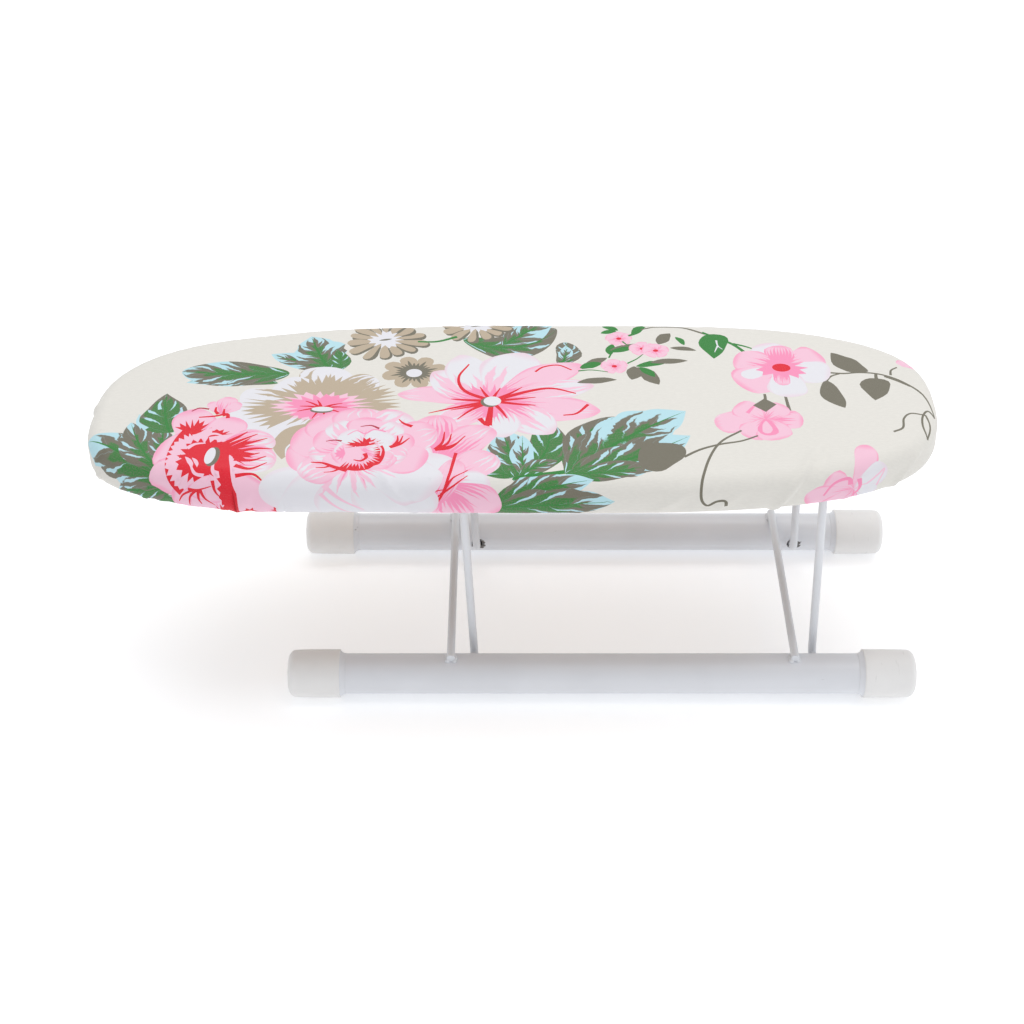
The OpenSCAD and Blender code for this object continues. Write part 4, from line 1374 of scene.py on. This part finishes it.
def make_caps(plastic, paint):
    """Four end caps, and the painted flare of the tube at each cap's mouth."""
    tube_low, tube_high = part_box("front_foot_tube")
    tube_radius = (tube_high.z - tube_low.z) / 2 / MM
    for node in ("front_left_cap", "front_right_cap", "rear_left_cap", "rear_right_cap"):
        low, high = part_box(node)
        centre_y, centre_z, radius = (low.y + high.y) / 2, (low.z + high.z) / 2, (high.z - low.z) / 2 / MM
        outer_x, sign = (low.x, 1) if "left" in node else (high.x, -1)
        mouth = (high.x - low.x) / MM - CAP_COLLAR

        def place(name, shape, material, slot):
            points = [(outer_x + sign * x * MM, centre_y + sign * y * MM, centre_z + z * MM)
                      for x, y, z in shape[0]]
            return new_piece(name, points, shape[1], material, "base")

        cap = lathe(cap_section(mouth, radius, tube_radius), CAP_SIDES)
        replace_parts(place(node.replace("cap", "end_cap"), cap, plastic, "cap_plastic"), node)
        flare = ring(flare_section(mouth, radius, tube_radius), CAP_SIDES)
        place(node.replace("cap", "tube_flare"), flare, paint, "tube_paint")


def make_welds(material):
    """Small beads on both sides of each cross wire, where it meets the foot tubes."""
    rng = np.random.default_rng(5)
    half_circle = [(-math.cos(a), math.sin(a)) for a in np.linspace(0, math.pi, BEAD_RINGS + 1)]
    lump, lump_faces = lathe(half_circle, BEAD_SIDES)
    for wire_node in ("left_cross_wire", "right_cross_wire"):
        wire_low, wire_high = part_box(wire_node)
        wire_x, wire_r = (wire_low.x + wire_high.x) / 2, (wire_high.x - wire_low.x) / 2
        for tube_node in ("front_foot_tube", "rear_foot_tube"):
            low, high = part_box(tube_node)
            tube_y, tube_r = (low.y + high.y) / 2, (high.z - low.z) / 2
            points, faces = [], []
            for side in (-1, 1):
                for step in (-1, 0, 1):
                    y = tube_y + step * BEAD_STEP * MM + rng.uniform(-0.3, 0.3) * MM
                    size = rng.uniform(1.25, 1.7) * MM
                    drop = tube_r - math.sqrt(tube_r ** 2 - (y - tube_y) ** 2)
                    x, z = wire_x + side * wire_r * 0.86, high.z - drop + 0.35 * MM
                    faces += [tuple(len(points) + v for v in face) for face in lump_faces]
                    points += [(x + 1.15 * size * c, y + 1.2 * size * d, z + 0.8 * size * e)
                               for e, c, d in lump]
            name = "weld_{}_{}".format(tube_node.split("_")[0], wire_node.split("_")[0])
            new_piece(name, points, faces, material, "base")


# ---- Materials of the CAD nodes that stay ----

def dress(nodes, material):
    """Gives CAD nodes that stay in the model a material of this script."""
    for node in nodes:
        piece = frame["nodes"][node]
        piece.data.materials.clear()
        piece.data.materials.append(material)


def pivot_wear_and_shade_spots():
    """Dark spots round each pivot hole, worn paint that is also painted shade of the hole's gap: the legs'
    hinge axes meet the inner faces of the foot tubes.
    """
    wear_and_shade_spots = []
    for joint in frame["joints"]:
        if joint["parent"] == "base":
            x, _, z = joint["pos_m"]
            for tube, inner in (("front_foot_tube", 1), ("rear_foot_tube", 0)):
                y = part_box(tube)[inner].y
                wear_and_shade_spots.append(((x + 0.0012, y, z - 0.0008), 0.0046))
    return wear_and_shade_spots


make_camera()
make_studio()

# The tube paint carries dark spots at the pivot holes: worn paint, and painted shade of each hole's gap
tube_paint = powder_coat("tube_paint", rgb(221, 223, 228), pivot_wear_and_shade_spots())
wire_paint = powder_coat("wire_paint", rgb(219, 221, 225))
cap_plastic = moulded_plastic("cap_plastic", rgb(232, 231, 230))
zinc = plated_steel("zinc_plate", rgb(196, 197, 194), (1, 0.08, 1))
screw_steel = plated_steel("screw_steel", rgb(206, 206, 204), (0.3, 0.3, 1))

make_pad()
make_cover(make_elastic())
make_caps(cap_plastic, tube_paint)
make_welds(wire_paint)
dress(("front_foot_tube", "rear_foot_tube"), tube_paint)
dress(("left_cross_wire", "right_cross_wire", "left_leg_wire", "right_leg_wire"), wire_paint)
dress([node for node in frame["nodes"] if node.endswith(("_saddle", "_stop"))], zinc)
dress(("saddle_screws", "stop_screws"), screw_steel)
dress(("board_panel",), fibreboard())
